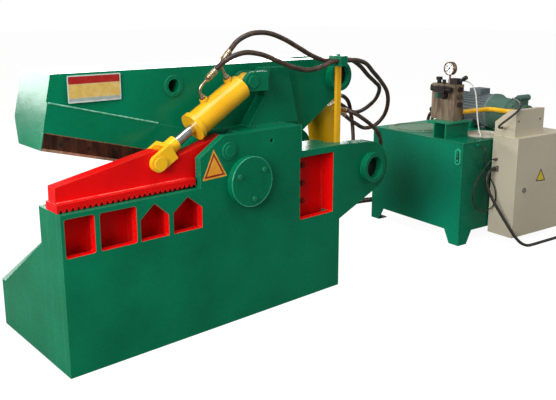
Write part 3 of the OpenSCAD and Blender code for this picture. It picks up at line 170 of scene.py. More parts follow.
# Black-brown synthetic rubber over braided wire: matt, with the fine wrap of the cloth it was cured in.
RUBBER_WRAP = 6  # mm between ridges of the wrap, drawn coarser than the real 2 mm so that it shows
rubber, at = new_material("hose_rubber_wrapped")
scuffs = add_node(rubber, "ShaderNodeTexNoise", Vector=at, Scale=22.0, Detail=5.0, Roughness=0.6)
wrap = add_node(rubber, "ShaderNodeTexWave", {"bands_direction": "DIAGONAL"}, Vector=at,
                Scale=1000 / RUBBER_WRAP / math.tau, Distortion=1.5, Detail=2.0)
tone = add_node(rubber, "ShaderNodeValToRGB", {"stops": ((0.36, "#241812"), (0.72, "#59402f"))},
                Fac=scuffs.outputs["Fac"])
ridges = add_node(rubber, "ShaderNodeBump", Height=wrap.outputs["Fac"], Strength=0.25, Distance=0.001)
skin = add_node(rubber, "ShaderNodeBsdfPrincipled", Base_Color=tone.outputs["Color"], Roughness=0.36,
                Normal=ridges.outputs["Normal"])
add_node(rubber, "ShaderNodeOutputMaterial", Surface=skin.outputs[0])

ROUTES = {
    "holddown_hose_front": [(924.2, 64.7, 1401.2), (941.4, 58.7, 1419.3), (980, 54, 1446), (1050, 52, 1473),
        (1130, 55, 1482), (1230, 57, 1466), (1340, 57, 1428), (1460, 57, 1386), (1580, 57, 1364), (1690, 57, 1378),
        (1760, 57, 1401), (1806, 57, 1405), (1850, 57, 1405)],
    "holddown_hose_rear": [(1040.1, 97.5, 1492.7), (1057.3, 97.5, 1510.5), (1092, 98, 1541), (1150, 99, 1568),
        (1220, 100, 1583), (1320, 101, 1578), (1430, 102, 1544), (1540, 103, 1494), (1650, 103, 1442),
        (1740, 103, 1412), (1806, 103, 1405), (1850, 103, 1405)],
    "main_hose_outer": [(1850, 57, 1405), (1880, 57, 1405), (1930, 58, 1405), (2010, 66, 1400), (2120, 95, 1373),
        (2240, 145, 1315), (2370, 185, 1240), (2470, 215, 1160), (2530, 255, 1070), (2552, 305, 980),
        (2512, 352, 908), (2438, 386, 892), (2365, 404, 930), (2300, 413, 971), (2246.3, 415, 1011.8),
        (2224.4, 415, 1025.3)],
    "main_hose_inner": [(1850, 103, 1405), (1880, 103, 1405), (1930, 104, 1405), (2010, 114, 1398), (2120, 142, 1352),
        (2230, 178, 1290), (2350, 222, 1235), (2440, 262, 1195), (2490, 305, 1150), (2510, 352, 1095),
        (2492, 395, 1045), (2450, 428, 1010), (2400, 448, 1001), (2350, 458, 1020), (2300, 460, 1051),
        (2235.9, 460, 1083), (2214, 460, 1096.6)],
    "supply_hose_pressure": [(2190.1, 374.7, 1046.5), (2190.1, 355, 1046.5), (2195, 310, 1042), (2222, 268, 1023),
        (2275, 242, 985), (2350, 238, 935), (2425, 246, 875), (2468, 256, 800), (2450, 262, 715), (2360, 266, 640),
        (2220, 275, 550), (2095, 310, 450), (2000, 400, 340), (1950, 520, 215), (1950, 650, 110), (1990, 780, 35),
        (2090, 915, 15), (2320, 1085, 15), (2650, 1240, 15), (3000, 1310, 15), (3370, 1280, 15), (3670, 1160, 20),
        (3810, 1030, 70), (3848.6, 857.7, 180), (3847.9, 851.8, 450), (3848.6, 857.7, 690), (3829.7, 824.7, 815),
        (3774.2, 735.4, 855), (3696.1, 623.5, 815), (3624.6, 526, 790), (3545.8, 409.1, 788), (3484, 325.6, 803),
        (3457.2, 284.4, 842), (3438.5, 262.3, 884), (3411.1, 251.4, 922), (3370.7, 249.9, 948), (3328.7, 252.7, 955),
        (3304.9, 255.4, 955)],
    "supply_hose_return": [(2219.6, 460, 1123.5), (2245.1, 460, 1127.2), (2300, 464, 1120), (2365, 476, 1075),
        (2410, 492, 990), (2428, 488, 880), (2395, 455, 760), (2310, 440, 650), (2200, 440, 540), (2090, 465, 430),
        (2010, 540, 320), (1990, 640, 200), (2025, 750, 100), (2095, 840, 35), (2190, 910, 15), (2380, 1020, 15),
        (2670, 1180, 15), (3000, 1250, 15), (3350, 1225, 15), (3620, 1120, 20), (3760, 1000, 70),
        (3798.9, 863.4, 180), (3798.2, 857.4, 450), (3798.9, 863.4, 680), (3786.1, 839.7, 800), (3741.7, 759.2, 850),
        (3670.8, 666.6, 815), (3599.9, 574.1, 790), (3515.6, 452.8, 788), (3470.3, 382.5, 800), (3455.3, 338.9, 838),
        (3442.6, 315.2, 882), (3416, 303.1, 921), (3376.4, 299.6, 948), (3334.4, 302.4, 955), (3310.6, 305.1, 955)],
    "drain_tube": [(3249.9, 161, 1187), (3269.7, 158.8, 1187), (3293.5, 137.9, 1184), (3307.8, 104.1, 1164),
        (3313.6, 75.3, 1120), (3314, 61.1, 1065), (3312.9, 52.2, 1010), (3310.7, 41.4, 940), (3306.9, 25.7, 870),
        (3302.1, 10.2, 820), (3297.3, -5.4, 795), (3297.3, -5.4, 771)],
    "mains_cable": [(3289, -149.4, 559), (3273.1, -147.6, 559), (3245.1, -145.4, 554), (3221.1, -144.7, 540),
        (3202.8, -145.6, 518), (3193.4, -148.6, 490), (3191.7, -155.4, 452), (3197.7, -173.2, 400),
        (3210.9, -198.9, 345), (3224.7, -236.7, 280), (3240.2, -276.7, 215), (3255.8, -316.7, 152),
        (3275.4, -357.2, 90), (3308.5, -393.2, 40), (3361.3, -415.3, 16), (3430.7, -425.2, 12), (3510.2, -434.3, 12),
        (3599.6, -444.4, 12), (3698.9, -455.8, 12), (3798.3, -467.1, 12), (3897.6, -478.4, 12), (3987.1, -488.6, 12),
        (4066.7, -496.7, 13), (4140.3, -504, 14)],
    "sensor_cable": [(3273.1, -147.6, 631), (3253.2, -145.3, 631), (3207, -136, 600), (3153, -123.8, 538),
        (3109, -112.8, 470), (3088.6, -106.4, 400), (3098.7, -105.6, 330), (3139.4, -110.2, 278), (3194, -117.4, 248),
        (3248.6, -132.7, 246), (3282.1, -156.7, 275), (3288.2, -173.5, 335), (3283, -166.8, 405),
        (3263.6, -142.5, 475), (3229.4, -124.5, 545), (3193.4, -122.4, 600), (3166, -133.4, 648),
        (3146.8, -151.3, 684), (3139, -158.5, 708), (3140, -149.5, 731), (3142.4, -128.7, 742),
        (3145.3, -102.8, 742)],
    "motor_cable": [(3276.2, -199.3, 875), (3251.4, -196.4, 875), (3216.2, -205.5, 887), (3194.6, -235.3, 912),
        (3202.5, -272.4, 945), (3242, -297, 980), (3293.6, -302.9, 1008), (3350.8, -287.3, 1032),
        (3404.7, -255.2, 1046), (3453.3, -208.4, 1054), (3492, -169.5, 1057), (3526.2, -134.1, 1056),
        (3558.3, -99.6, 1053), (3584.3, -83.4, 1049), (3612.9, -79.6, 1047), (3634.8, -82.1, 1047)],
}

# The hold-down hoses and the main hoses meet in the clamp on its post; the supply hoses run on to the tank.
# Each row gives the bodies at the hose's two ends, and the points between which it passes from one to the other.
HOSE_D = 28
SWINGS = {
    "holddown_hose_front": ("holddown_barrel", "frame", (960, 0, 0), (1500, 0, 0)),
    "holddown_hose_rear": ("holddown_barrel", "frame", (1065, 0, 0), (1520, 0, 0)),
    "main_hose_outer": ("frame", "main_barrel", (0, 70, 0), (0, 405, 0)),
    "main_hose_inner": ("frame", "main_barrel", (0, 115, 0), (0, 450, 0)),
    "supply_hose_pressure": ("main_barrel", "frame", (2190, 375, 1040), (2292, 477, 701)),
    "supply_hose_return": ("main_barrel", "frame", (2219, 460, 1118), (2321, 562, 779)),
}


def metal(name, colour, deep, rough, scale, bump=0.1, stretch=(1, 1, 1), metallic=1.0):
    """Bare or plated metal: two tones of its own oxide or oil film, and the marks of how it was worked."""
    made, at = new_material(name)
    along_grain = add_node(made, "ShaderNodeMapping", Vector=at, Scale=stretch)
    marks = add_node(made, "ShaderNodeTexNoise", Vector=along_grain.outputs[0], Scale=scale, Detail=6.0,
                     Roughness=0.65)
    tone = add_node(made, "ShaderNodeValToRGB", {"stops": ((0.35, deep), (0.68, colour))},
                    Fac=marks.outputs["Fac"])
    grooves = add_node(made, "ShaderNodeBump", Height=marks.outputs["Fac"], Strength=bump, Distance=0.001)
    shine = add_node(made, "ShaderNodeMapRange", i0=marks.outputs["Fac"], i3=rough + 0.15, i4=rough - 0.05)
    skin = add_node(made, "ShaderNodeBsdfPrincipled", Base_Color=tone.outputs["Color"], Metallic=metallic,
                    Roughness=shine.outputs[0], Normal=grooves.outputs["Normal"])
    add_node(made, "ShaderNodeOutputMaterial", Surface=skin.outputs[0])
    return made


# Zinc plate with a yellow chromate film: silver to straw, dull in the grooves.
zinc = metal("zinc_plate_yellow_chromate", "#ddd0b6", "#957a55", 0.3, 45.0, 0.12)
# the sleeve is crimped in rings, one in every third step along it
FERRULE_L, FERRULE_R, CRIMP_DEPTH, CRIMP_STEP = 58, 17.5, 1.5, 4


def crimped(count):
    """Radii in metres along a crimped sleeve: a collar, pressed rings and a rolled lip at the hose end."""
    rings = [FERRULE_R - CRIMP_DEPTH * (k % 3 == 2) for k in range(count - 2)]
    return [r / 1000 for r in [FERRULE_R - 1] + rings + [FERRULE_R - 2]]


def sleeve(name, path, body):
    """Crimped ferrule over the first part of that path."""
    along, points = 0, [path[0]]
    for a, b in zip(path, path[1:]):
        steps = max(1, round((b - a).length * 1000 / CRIMP_STEP))
        points += [a.lerp(b, (k + 1) / steps) for k in range(steps)]
        along += (b - a).length * 1000
        if along > FERRULE_L:
            break
    points = points[:round(FERRULE_L / CRIMP_STEP) + 1]
    piece = tube(name, points, crimped(len(points)), 18)
    coat(piece, zinc)
    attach(piece, body)
    return piece


# hose ends that carry a crimped ferrule of their own; the hold-down hoses are crimped on their bent pipes
FERRULES = {"main_hose_outer": (False, True), "main_hose_inner": (False, True),
            "supply_hose_pressure": (True, True), "supply_hose_return": (True, True)}
paths = {name: smooth([metres(p) for p in route], ROUTE_STEP) for name, route in ROUTES.items()}
for name, (first, last, start, end) in SWINGS.items():
    path = paths[name]
    hose = tube(name + "_rubber", path, HOSE_D / 2000)
    coat(hose, rubber)
    ends = FERRULES.get(name, (False, False))
    sleeves = [sleeve(name + "_ferrule_" + body, way, body)
               for body, way, wanted in ((first, path, ends[0]), (last, path[::-1], ends[1])) if wanted]
    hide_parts(name)
    metres(start)
    metres(end)
    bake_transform(hose)

# ---------- Drain tube and cables ----------
# The drain is a milky polyamide tube pushed into its fittings. The mains, motor and sensor leads are black PVC,
# and the mains lead's spare length lies in a coil on the floor, its end in a moulded five-pin plug.


def plastic(name, stops, clouds, detail=4.0, patchy=0.5, uneven=0.0, **finish):
    """Smooth coloured skin: two tones of its colour in clouds 1000 / clouds mm across, and faint unevenness."""
    made, at = new_material(name)
    cloud = add_node(made, "ShaderNodeTexNoise", Vector=at, Scale=clouds, Detail=detail, Roughness=patchy)
    tone = add_node(made, "ShaderNodeValToRGB", {"stops": stops}, Fac=cloud.outputs["Fac"])
    if uneven:
        grain = add_node(made, "ShaderNodeBump", Height=cloud.outputs["Fac"], Strength=uneven, Distance=0.001)
        finish["Normal"] = grain.outputs["Normal"]
    skin = add_node(made, "ShaderNodeBsdfPrincipled", Base_Color=tone.outputs["Color"], **finish)
    add_node(made, "ShaderNodeOutputMaterial", Surface=skin.outputs[0])
    return made


# Natural polyamide, extruded: light goes a little way in, so it looks milky and soft-edged.
polyamide = plastic("polyamide_natural", ((0.3, "#cfc9bd"), (0.7, "#efeae0")), 18.0, detail=3.0,
                    Roughness=0.32, Subsurface_Weight=0.15, IOR=1.53)
# Black PVC sheath: smooth and half glossy where it is clean, grey where dust clings.
pvc = plastic("pvc_lead_black", ((0.35, "#191614"), (0.75, "#3d332e")), 30.0, patchy=0.65, uneven=0.15,
              Roughness=0.4)

UNIT_CORNER = Vector((2999, -62, 0))  # near left corner of the tank
UNIT_TURN = math.radians(-6.5)  # the power unit stands turned a little against the frame


def of_unit(x, y, z):
    """Point of the power unit, in millimetres from the tank's near left corner, as a point of the frame."""
    return UNIT_CORNER + Matrix.Rotation(UNIT_TURN, 3, "Z") @ Vector((x, y, z))


MAINS_D, LEAD_D, SENSOR_D, DRAIN_D = 22, 16, 9, 10
COIL, COIL_R = (1270, -190), 142  # middle of the coil and its widest turn
COIL_TURNS, TURN_POINTS = 4, 24
CLIMB = (2, 2.25)  # the stretch of turns in which the lead climbs on top of itself
STEPS_OUT = ((2.75, 3.0), (3.75, 4.0))  # the stretches in which the upper layer moves out by one lead


def coil_point(turn):
    """Point of the wound lead after that many turns: two turns inwards on the floor, two outwards on top of them."""
    def part(a, b):
        return min(max((turn - a) / (b - a), 0), 1)
    radius = COIL_R + MAINS_D * (sum(part(*step) for step in STEPS_OUT) - min(turn, CLIMB[0]))
    angle = math.tau * (turn - 0.25)
    return of_unit(COIL[0] + radius * math.cos(angle), COIL[1] + radius * math.sin(angle),
                   MAINS_D / 2 + 1 + (MAINS_D + 1) * part(*CLIMB))


into_coil = [of_unit(940, -314, 12), of_unit(1030, -322, 12), of_unit(1110, -330, 12), of_unit(1190, -332, 12)]
to_plug = [of_unit(1318, -324, 34), of_unit(1340, -314, 34), of_unit(1366, -310, 34)]
coil = [coil_point(k / TURN_POINTS) for k in range(COIL_TURNS * TURN_POINTS + 1)]
mains_route = ROUTES["mains_cable"][:-len(into_coil)] + into_coil + coil + to_plug
paths["mains_cable"] = smooth([metres(p) for p in mains_route], ROUTE_STEP)

# a tapered sleeve with ribs, moulded on, keeps the mains lead from kinking where it leaves its gland
RELIEF_L, RELIEF_R, RELIEF_TAPER, RIB_DEPTH, RIB_STEP = 48, 17.5, 5, 1, 4
relief_way = smooth([metres(p) for p in ROUTES["mains_cable"][:4]], RIB_STEP)[:RELIEF_L // RIB_STEP + 1]
relief_radii = [(RELIEF_R - RELIEF_TAPER * k / (len(relief_way) - 1) - RIB_DEPTH * (k % 2)) / 1000
                for k in range(len(relief_way))]
relief = tube("mains_strain_relief", relief_way, relief_radii, 20)
coat(relief, pvc)
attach(relief, "frame")

LEADS = {"drain_tube": (DRAIN_D, polyamide, "stiff"), "mains_cable": (MAINS_D, pvc, "medium"),
         "sensor_cable": (SENSOR_D, pvc, "medium"), "motor_cable": (LEAD_D, pvc, "medium")}
for name, (width, material, stiffness) in LEADS.items():
    path = paths[name]
    lead = tube(name + "_lead", path, width / 2000, 12)
    coat(lead, material)
    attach(lead, "frame")
    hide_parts(name)
    coiled = name == "mains_cable"
    if coiled:
        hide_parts("mains_coil")

# ---------- Frame ----------
# Thick flame-cut steel plates, welded together and sprayed with glossy alkyd enamel over the bare mill surface.
# The paint is thin on the edges, where the pale primer shines through, and lies in patches of light and dark. The
# pale edges also stand as painted highlight.


def enamel(name, colour, pale, deep, gloss=0.3, wear_and_highlight=0.3, patch=2.2, fields=(), shades=(), mirror=0.14):
    """Alkyd enamel sprayed on steel: patches of thick and thin paint, orange peel, and edges worn pale, which also
    stand as painted highlight.

    Each field is the middle and half size of a box in millimetres of the frame, and the colour inside it;
    each shade is the middle and radius of a patch of painted shade, and the darker colour painted at its middle."""
    made, at = new_material(name)
    # patches about 1 / patch metres across, where the coat is thicker
    patches = add_node(made, "ShaderNodeTexNoise", Vector=at, Scale=patch, Detail=5.0, Roughness=0.55)
    tone = add_node(made, "ShaderNodeValToRGB", {"stops": ((0.32, deep), (0.66, colour))},
                    Fac=patches.outputs["Fac"])
    coats = tone.outputs["Color"]
    # each shade darkens the coat round its middle: painted shade
    for middle, radius, second in shades:
        away = add_node(made, "ShaderNodeVectorMath", {"operation": "DISTANCE"}, i0=at, i1=metres(middle))
        share = add_node(made, "ShaderNodeMapRange", {"interpolation_type": "SMOOTHSTEP"}, i0=away.outputs["Value"],
                         i1=radius / 1000, i2=0.0, i3=0.0, i4=0.85)
        coats = add_node(made, "ShaderNodeMix", {"data_type": "RGBA"}, i0=share.outputs[0], i6=coats,
                         i7=linear(second)).outputs[2]
    axes = add_node(made, "ShaderNodeSeparateXYZ", Vector=at) if fields else None
    for middle, half, second in fields:
        inside = None
        for axis, (m, h) in enumerate(zip(metres(middle), half)):
            near = add_node(made, "ShaderNodeMath", {"operation": "COMPARE"}, i0=axes.outputs[axis], i1=m,
                            i2=h / 1000)
            inside = near if inside is None else add_node(made, "ShaderNodeMath", {"operation": "MULTIPLY"},
                                                          i0=inside.outputs[0], i1=near.outputs[0])
        coats = add_node(made, "ShaderNodeMix", {"data_type": "RGBA"}, i0=inside.outputs[0], i6=coats,
                         i7=linear(second)).outputs[2]
    # fine mottling of the spray, 20 mm across
    spray = add_node(made, "ShaderNodeTexNoise", Vector=at, Scale=48.0, Detail=4.0, Roughness=0.7)
    flecked = add_node(made, "ShaderNodeMix", {"data_type": "RGBA", "blend_type": "SOFT_LIGHT"}, i0=0.22,
                       i6=coats, i7=spray.outputs["Color"])
    # edges: the normal of a 5 mm round against the true one; the edges are drawn pale as worn paint and as painted
    # highlight
    round_edge = add_node(made, "ShaderNodeBevel", {"samples": 4}, Radius=0.005)
    true_face = add_node(made, "ShaderNodeNewGeometry")
    apart = add_node(made, "ShaderNodeVectorMath", {"operation": "DISTANCE"}, i0=round_edge.outputs["Normal"],
                     i1=true_face.outputs["Normal"])
    rub = add_node(made, "ShaderNodeTexNoise", Vector=at, Scale=26.0, Detail=5.0, Roughness=0.75)
    worn_and_highlit = add_node(made, "ShaderNodeMath", {"operation": "MULTIPLY"}, i0=apart.outputs["Value"],
                      i1=rub.outputs["Fac"])
    edge = add_node(made, "ShaderNodeMapRange", i0=worn_and_highlit.outputs[0], i1=0.08, i2=0.4, i3=0.0, i4=wear_and_highlight)
    colours = add_node(made, "ShaderNodeMix", {"data_type": "RGBA"}, i0=edge.outputs[0],
                       i6=flecked.outputs[2], i7=linear(pale))
    # orange peel, 12 mm across, drawn coarser than the real 2 mm so that it shows
    peel = add_node(made, "ShaderNodeTexNoise", Vector=at, Scale=85.0, Detail=2.0)
    waves = add_node(made, "ShaderNodeTexNoise", Vector=at, Scale=9.0, Detail=3.0)
    low = add_node(made, "ShaderNodeBump", Height=waves.outputs["Fac"], Strength=0.35, Distance=0.003)
    bumps = add_node(made, "ShaderNodeBump", Height=peel.outputs["Fac"], Strength=0.12, Distance=0.001,
                     Normal=low.outputs["Normal"])
    shine = add_node(made, "ShaderNodeMapRange", i0=spray.outputs["Fac"], i3=gloss - 0.06, i4=gloss + 0.14)
    skin = add_node(made, "ShaderNodeBsdfPrincipled", Base_Color=colours.outputs[2], Roughness=shine.outputs[0],
                    Normal=bumps.outputs["Normal"], Specular_IOR_Level=mirror)
    add_node(made, "ShaderNodeOutputMaterial", Surface=skin.outputs[0])
    return made


GREEN, PALE_GREEN, DEEP_GREEN = "#047853", "#6cc4a0", "#036645"
RED, PALE_RED, DEEP_RED = "#e80b0c", "#ef7a6a", "#cb0809"
YELLOW, PALE_YELLOW, DEEP_YELLOW = "#fbc61f", "#fff0a8", "#e8a70a"
# green outside, and brushed red through the thickness of the windows and in the pockets behind them
green = enamel("alkyd_enamel_green", GREEN, PALE_GREEN, DEEP_GREEN, gloss=0.24, fields=[
    ((395, 76, 684), (380, 75, 96), RED), ((1602.5, 76, 680), (137.5, 75, 187.5), RED)])
red = enamel("alkyd_enamel_red", RED, PALE_RED, DEEP_RED)
for name in ("near_side_plate", "inner_jaw_plate", "far_side_plate", "base_box", "holddown_bracket",
             "pivot_covers", "frame_pins", "hose_clamp"):
    coat(name, green)
# the arm and the tank had a heavier coat, which dried glossier; on the tank, painted shade darkens two faces low
# down:
# a painted dark reflection on its left face and the painted shadow of the cabinet on its near face
coat("upper_arm", enamel("alkyd_enamel_green_glossy", GREEN, PALE_GREEN, DEEP_GREEN, gloss=0.17))
coat("oil_tank", enamel("alkyd_enamel_green_painted_shade", "#078b67", PALE_GREEN, "#047352", gloss=0.22, patch=1.6,
                        shades=[((3060, 470, 330), 640, "#01402c"), ((3440, -110, 440), 640, "#011d14")]))
for name in ("window_plates", "holddown_arm"):
    coat(name, red)
yellow = enamel("alkyd_enamel_yellow", YELLOW, PALE_YELLOW, DEEP_YELLOW, gloss=0.18, mirror=0.45)
for name in ("hose_post", "main_gland", "clevis_pin", "holddown_barrel", "holddown_gland",
             "holddown_clevis", "delivery_pipe"):
    coat(name, yellow)
# the ends of the main cylinder's trunnions, inside the bores of the lugs, are darkened as painted shade
TRUNNION, BORE_SHADE = (2078, 727), "#17130f"
coat("main_barrel", enamel("alkyd_enamel_yellow_bore_shade", YELLOW, PALE_YELLOW, DEEP_YELLOW, gloss=0.2, mirror=0.4,
                           fields=[((TRUNNION[0], across, TRUNNION[1]), (72, 80, 72), BORE_SHADE)
                                   for across in (20, 800)]))

# ---------- Blades, shafts and bolts ----------
# Blades of hardened tool steel, ground and brown with mill oil; shafts turned from bar, with fine bright lines round
# them; bolts blackened in hot oil, and dull; a bush of bored bronze, pressed into the arm.
tool_steel = metal("tool_steel_oiled", "#5c3a26", "#1f0f08", 0.42, 30.0, 0.2, stretch=(1, 1, 0.25), metallic=0.6)
turned_steel = metal("steel_turned_oiled", "#b3b0aa", "#6f6a64", 0.3, 60.0, 0.1)
black_oxide = metal("steel_black_oxide", "#3a3836", "#1a1817", 0.42, 70.0, 0.1, metallic=0.7)
bronze = metal("bearing_bronze_bored", "#b48a45", "#7a5626", 0.32, 50.0)
for name in ("upper_blade", "lower_blade"):
    coat(name, tool_steel)
for name in ("pivot_shaft", "motor_rotor"):
    coat(name, turned_steel)
# the tail pin, though turned steel, is drawn in black oxide all over as painted shade inside the bore round it
for name in ("upper_blade_bolts", "tail_pin"):
    coat(name, black_oxide)
# bolts on the pivot covers and in the rear window were painted over with what they hold; those in the rear window
# are drawn a darker red than the pocket as painted shade
PIVOT = (1080, 793)
coat("frame_bolts", enamel("bolt_steel_painted_over", "#2c2926", "#7a7672", "#1b1917", gloss=0.35, fields=[
    ((PIVOT[0], -30, PIVOT[1]), (150, 40, 150), GREEN), ((PIVOT[0], 820, PIVOT[1]), (150, 100, 150), GREEN),
    ((1580, 90, 680), (40, 50, 150), "#8e0f0b")]))
coat("arm_bush", bronze)

# ---------- Weld seams ----------
# Fillet and butt welds laid by hand in short ripples, painted over with the plates they join. Two of them are drawn
# pale as painted highlight along them, and a rounded rim round each pivot cover is a lighter green as painted
# highlight.
RIPPLE = 7  # mm between the ripples of a bead


def bead(name, points, radius, body, material):
    """Rippled weld bead along straight runs between points of the frame, half sunk in the plates."""
    way, radii = [], []
    for a, b in zip(points, points[1:]):
        steps = max(2, round((Vector(b) - Vector(a)).length / (RIPPLE / 2)))
        for k in range(steps + (b is points[-1])):
            way.append(metres(Vector(a).lerp(Vector(b), k / steps)))
            # every other point is the crest of a ripple, and the hand wavers a little
            radii.append(radius / 1000 * (0.82 + 0.18 * (k % 2) + 0.08 * math.sin(0.7 * k)))
    piece = tube(name, way, radii, 8)
    coat(piece, material)
    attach(piece, body)


def circle(x, y, radius, count):
    """Points round a circle, as pairs."""
    turns = [math.tau * k / count for k in range(count)]
    return [(x + radius * math.cos(a), y + radius * math.sin(a)) for a in turns]


ARM_FACE = 236  # mm from the near side plate to the arm's near face
# the fold seam of the arm is pale green: a painted highlight along the crease
bead("arm_fold_seam", [(84, ARM_FACE, 1280), (668, ARM_FACE, 1126)], 4.5, "arm",
     enamel("alkyd_enamel_green_painted_highlight", "#7fc9ab", "#e8f6ee", "#3d9c79", gloss=0.2, patch=30.0))
bead("bracket_seam_base", [(1207, 150, 1060), (1475, 150, 1060)], 5, "frame", green)
bead("bracket_seam_front", [(1207, 150, 1060), (1326, 150, 1222), (1326, 150, 1384)], 4.5, "frame", green)
bead("rear_window_seam", [(1738, 109, 500), (1738, 109, 864)], 7, "frame", red)
bead("lug_seam_near", [(1475, 0, 905), (1475, 0, 1058)], 4, "frame", green)
# the rims round the pivot covers are a lighter green than the plates: painted highlight on their round
rim_highlight_enamel = enamel("alkyd_enamel_green_rim_highlight", "#12996f", "#a9e2cb", "#067a56", gloss=0.14, mirror=0.6)
COVER_R, RIM_R = 137, 4.2
for side, cover_face in (("near", -37), ("far", 859)):
    ring = circle(*PIVOT, COVER_R, 96)
    rim = tube("pivot_cover_rim_" + side, [metres((x, cover_face, z)) for x, z in ring + ring[:1]], RIM_R / 1000, 10)
    coat(rim, rim_highlight_enamel)
    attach(rim, "frame")
# the seam along the top of the hold-down's bar is pale red: a painted highlight along the fillet
bead("holddown_bar_seam", [(12, 59.5, 843), (714, 59.5, 852)], 4, "holddown",
     enamel("alkyd_enamel_red_painted_highlight", "#f0685a", "#f9c0b2", "#d8231f", gloss=0.2, patch=30.0))

# ---------- Window pockets ----------
# Behind the plate's windows lie shallow pockets. The last pointed one and the rear one end in red steel cheeks, cut
# from the same plate as the red ones behind them and welded in.


def layered(name, layers, place, body):
    """Thin piece of stacked flat layers; each is an outline, its lower and upper height in mm, and a material."""
    mesh = bmesh.new()
    data = bpy.data.meshes.new(name)
    for slot, (outline, low, high, material) in enumerate(layers):
        data.materials.append(material)
        under = [mesh.verts.new(metres(place(u, v, low))) for u, v in outline]
        over = [mesh.verts.new(metres(place(u, v, high))) for u, v in outline]
        around = [(under[i - 1], under[i], over[i], over[i - 1]) for i in range(len(outline))]
        for corners in [under[::-1], over] + around:
            mesh.faces.new(corners).material_index = slot
    bmesh.ops.recalc_face_normals(mesh, faces=mesh.faces)
    mesh.to_mesh(data)
    mesh.free()
    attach(link(name, data), body)


# each cheek: across and up, from and to, and its two faces along the frame
layered("window_cheeks", [([(46, 571), (106, 571), (106, 769), (46, 769)], 777, 787, red),
                          ([(46, 461), (116, 461), (116, 867), (46, 867)], 1741, 1751, red)],
        lambda across, up, along: (along, across, up), "frame")

# ---------- Signs ----------
# Printed vinyl film, cut to shape and stuck on the enamel: plain fields of colour, without lettering or pictures.
# The film is smooth and half glossy, and has faded in clouds.


def film(name, colour, faded):
    """Thin smooth layer of colour, such as printed vinyl or fired enamel, faded in clouds."""
    return plastic(name, ((0.4, colour), (0.75, faded)), 28.0, uneven=0.1, Roughness=0.34)


def rounded(x0, z0, x1, z1, r):
    """Outline of a rectangle with round corners, each of five points."""
    out = []
    for cx, cz, start in ((x1 - r, z0 + r, -90), (x1 - r, z1 - r, 0), (x0 + r, z1 - r, 90), (x0 + r, z0 + r, 180)):
        for k in range(5):
            a = math.radians(start + 90 * k / 4)
            out.append((cx + r * math.cos(a), cz + r * math.sin(a)))
    return out


def inset(triangle, by):
    """The triangle drawn in by that much on every side."""
    middle = sum((Vector(p) for p in triangle), Vector((0, 0))) / 3
    a, b, c = (Vector(p) for p in triangle)
    area = abs((b - a).cross(c - a)) / 2
    inner = 2 * area / ((b - a).length + (c - b).length + (a - c).length)
    return [tuple(middle + (Vector(p) - middle) * (1 - by / inner)) for p in triangle]


silver_film = film("vinyl_silver", "#b9c6bd", "#d3dad2")
red_film = film("vinyl_red", "#9c1512", "#b02a20")
straw_film = film("vinyl_straw", "#cdab55", "#d9c07a")
grey_film = film("vinyl_grey", "#93a39c", "#a9b5ae")
amber_film = film("vinyl_amber", "#e89a22", "#efb04a")
brown_film = film("vinyl_red_brown", "#8e2413", "#a23c22")
layered("arm_label", [(rounded(181, 1268, 463, 1400, 6), 0, 0.3, silver_film),
                      (rounded(187, 1358, 457, 1394, 2), 0.3, 0.45, red_film),
                      (rounded(187, 1291, 457, 1357, 2), 0.3, 0.45, straw_film),
                      (rounded(187, 1275, 457, 1290, 2), 0.3, 0.45, grey_film)],
        lambda u, v, w: (u, ARM_FACE - w, v), "arm")
plate_sign = [(777, 837), (936, 843), (851, 995)]
layered("plate_sign", [(plate_sign, 0, 0.3, amber_film), (inset(plate_sign, 8), 0.3, 0.45, brown_film),
                       (inset(plate_sign, 18), 0.45, 0.6, amber_film)],
        lambda u, v, w: (u, -w, v), "frame")

# ---------- Upper blade ----------
# The blade is bolted in its seat. A packing of the same steel, painted green in front, closes the seat at the tip,
# and the cutting edge is ground to a narrow bright land.
BLADE_FACE = 233
ARM_TIP = (28, 1060)  # lowest corner of the arm's front, where the cutting edge starts
EDGE_DROP = 18  # mm by which the line of the edge passes under the pivot
EDGE_SLOPE = math.atan2(ARM_TIP[1] - (PIVOT[1] - EDGE_DROP), PIVOT[0] - ARM_TIP[0])


def on_blade(u, v, w):
    """Point along the blade, up from its edge and into the arm, from the tip of the arm."""
    c, s = math.cos(EDGE_SLOPE), math.sin(EDGE_SLOPE)
    return Vector((ARM_TIP[0] + u * c + v * s, BLADE_FACE + w, ARM_TIP[1] - u * s + v * c))


layered("upper_blade_packing", [([(1, 0), (5, 0), (1.2, 86), (-2.8, 86)], 0.5, 30, green),
                                ([(5.2, 0), (23.8, 0), (23.8, 86), (1.4, 86)], 0.5, 30, tool_steel)],
        on_blade, "arm")
# the edge is ground, fine-lined and bright; rust creeps out of the joint above the blade, dull and brown
ground_land = metal("tool_steel_ground_land", "#c9a888", "#8a6a52", 0.32, 60.0, 0.1, metallic=0.5)
rust_line = metal("seat_rust_line", "#8a6238", "#4a2f1a", 0.6, 60.0, 0.1, metallic=0.1)
layered("upper_blade_land", [([(2, 0.3), (743, 0.3), (743, 13), (2, 13)], 0.1, 0.6, ground_land),
                             ([(2, 83), (743, 83), (743, 87), (2, 87)], 0.1, 0.6, rust_line)], on_blade, "arm")

# ---------- Cylinders ----------
# Cylinder rods are ground and hard-chromed, so they mirror the room; the port tees are zinc plated. The hold-down
# hoses end in steel pipes bent round a former, each with a union nut at the port and a ferrule crimped on the hose.
chrome = metal("hard_chrome_rod", "#e4e4e2", "#b9b9b6", 0.16, 90.0, 0.03)
for name in ("main_rod", "holddown_rod"):
    coat(name, chrome)
coat("main_port_tees", zinc)

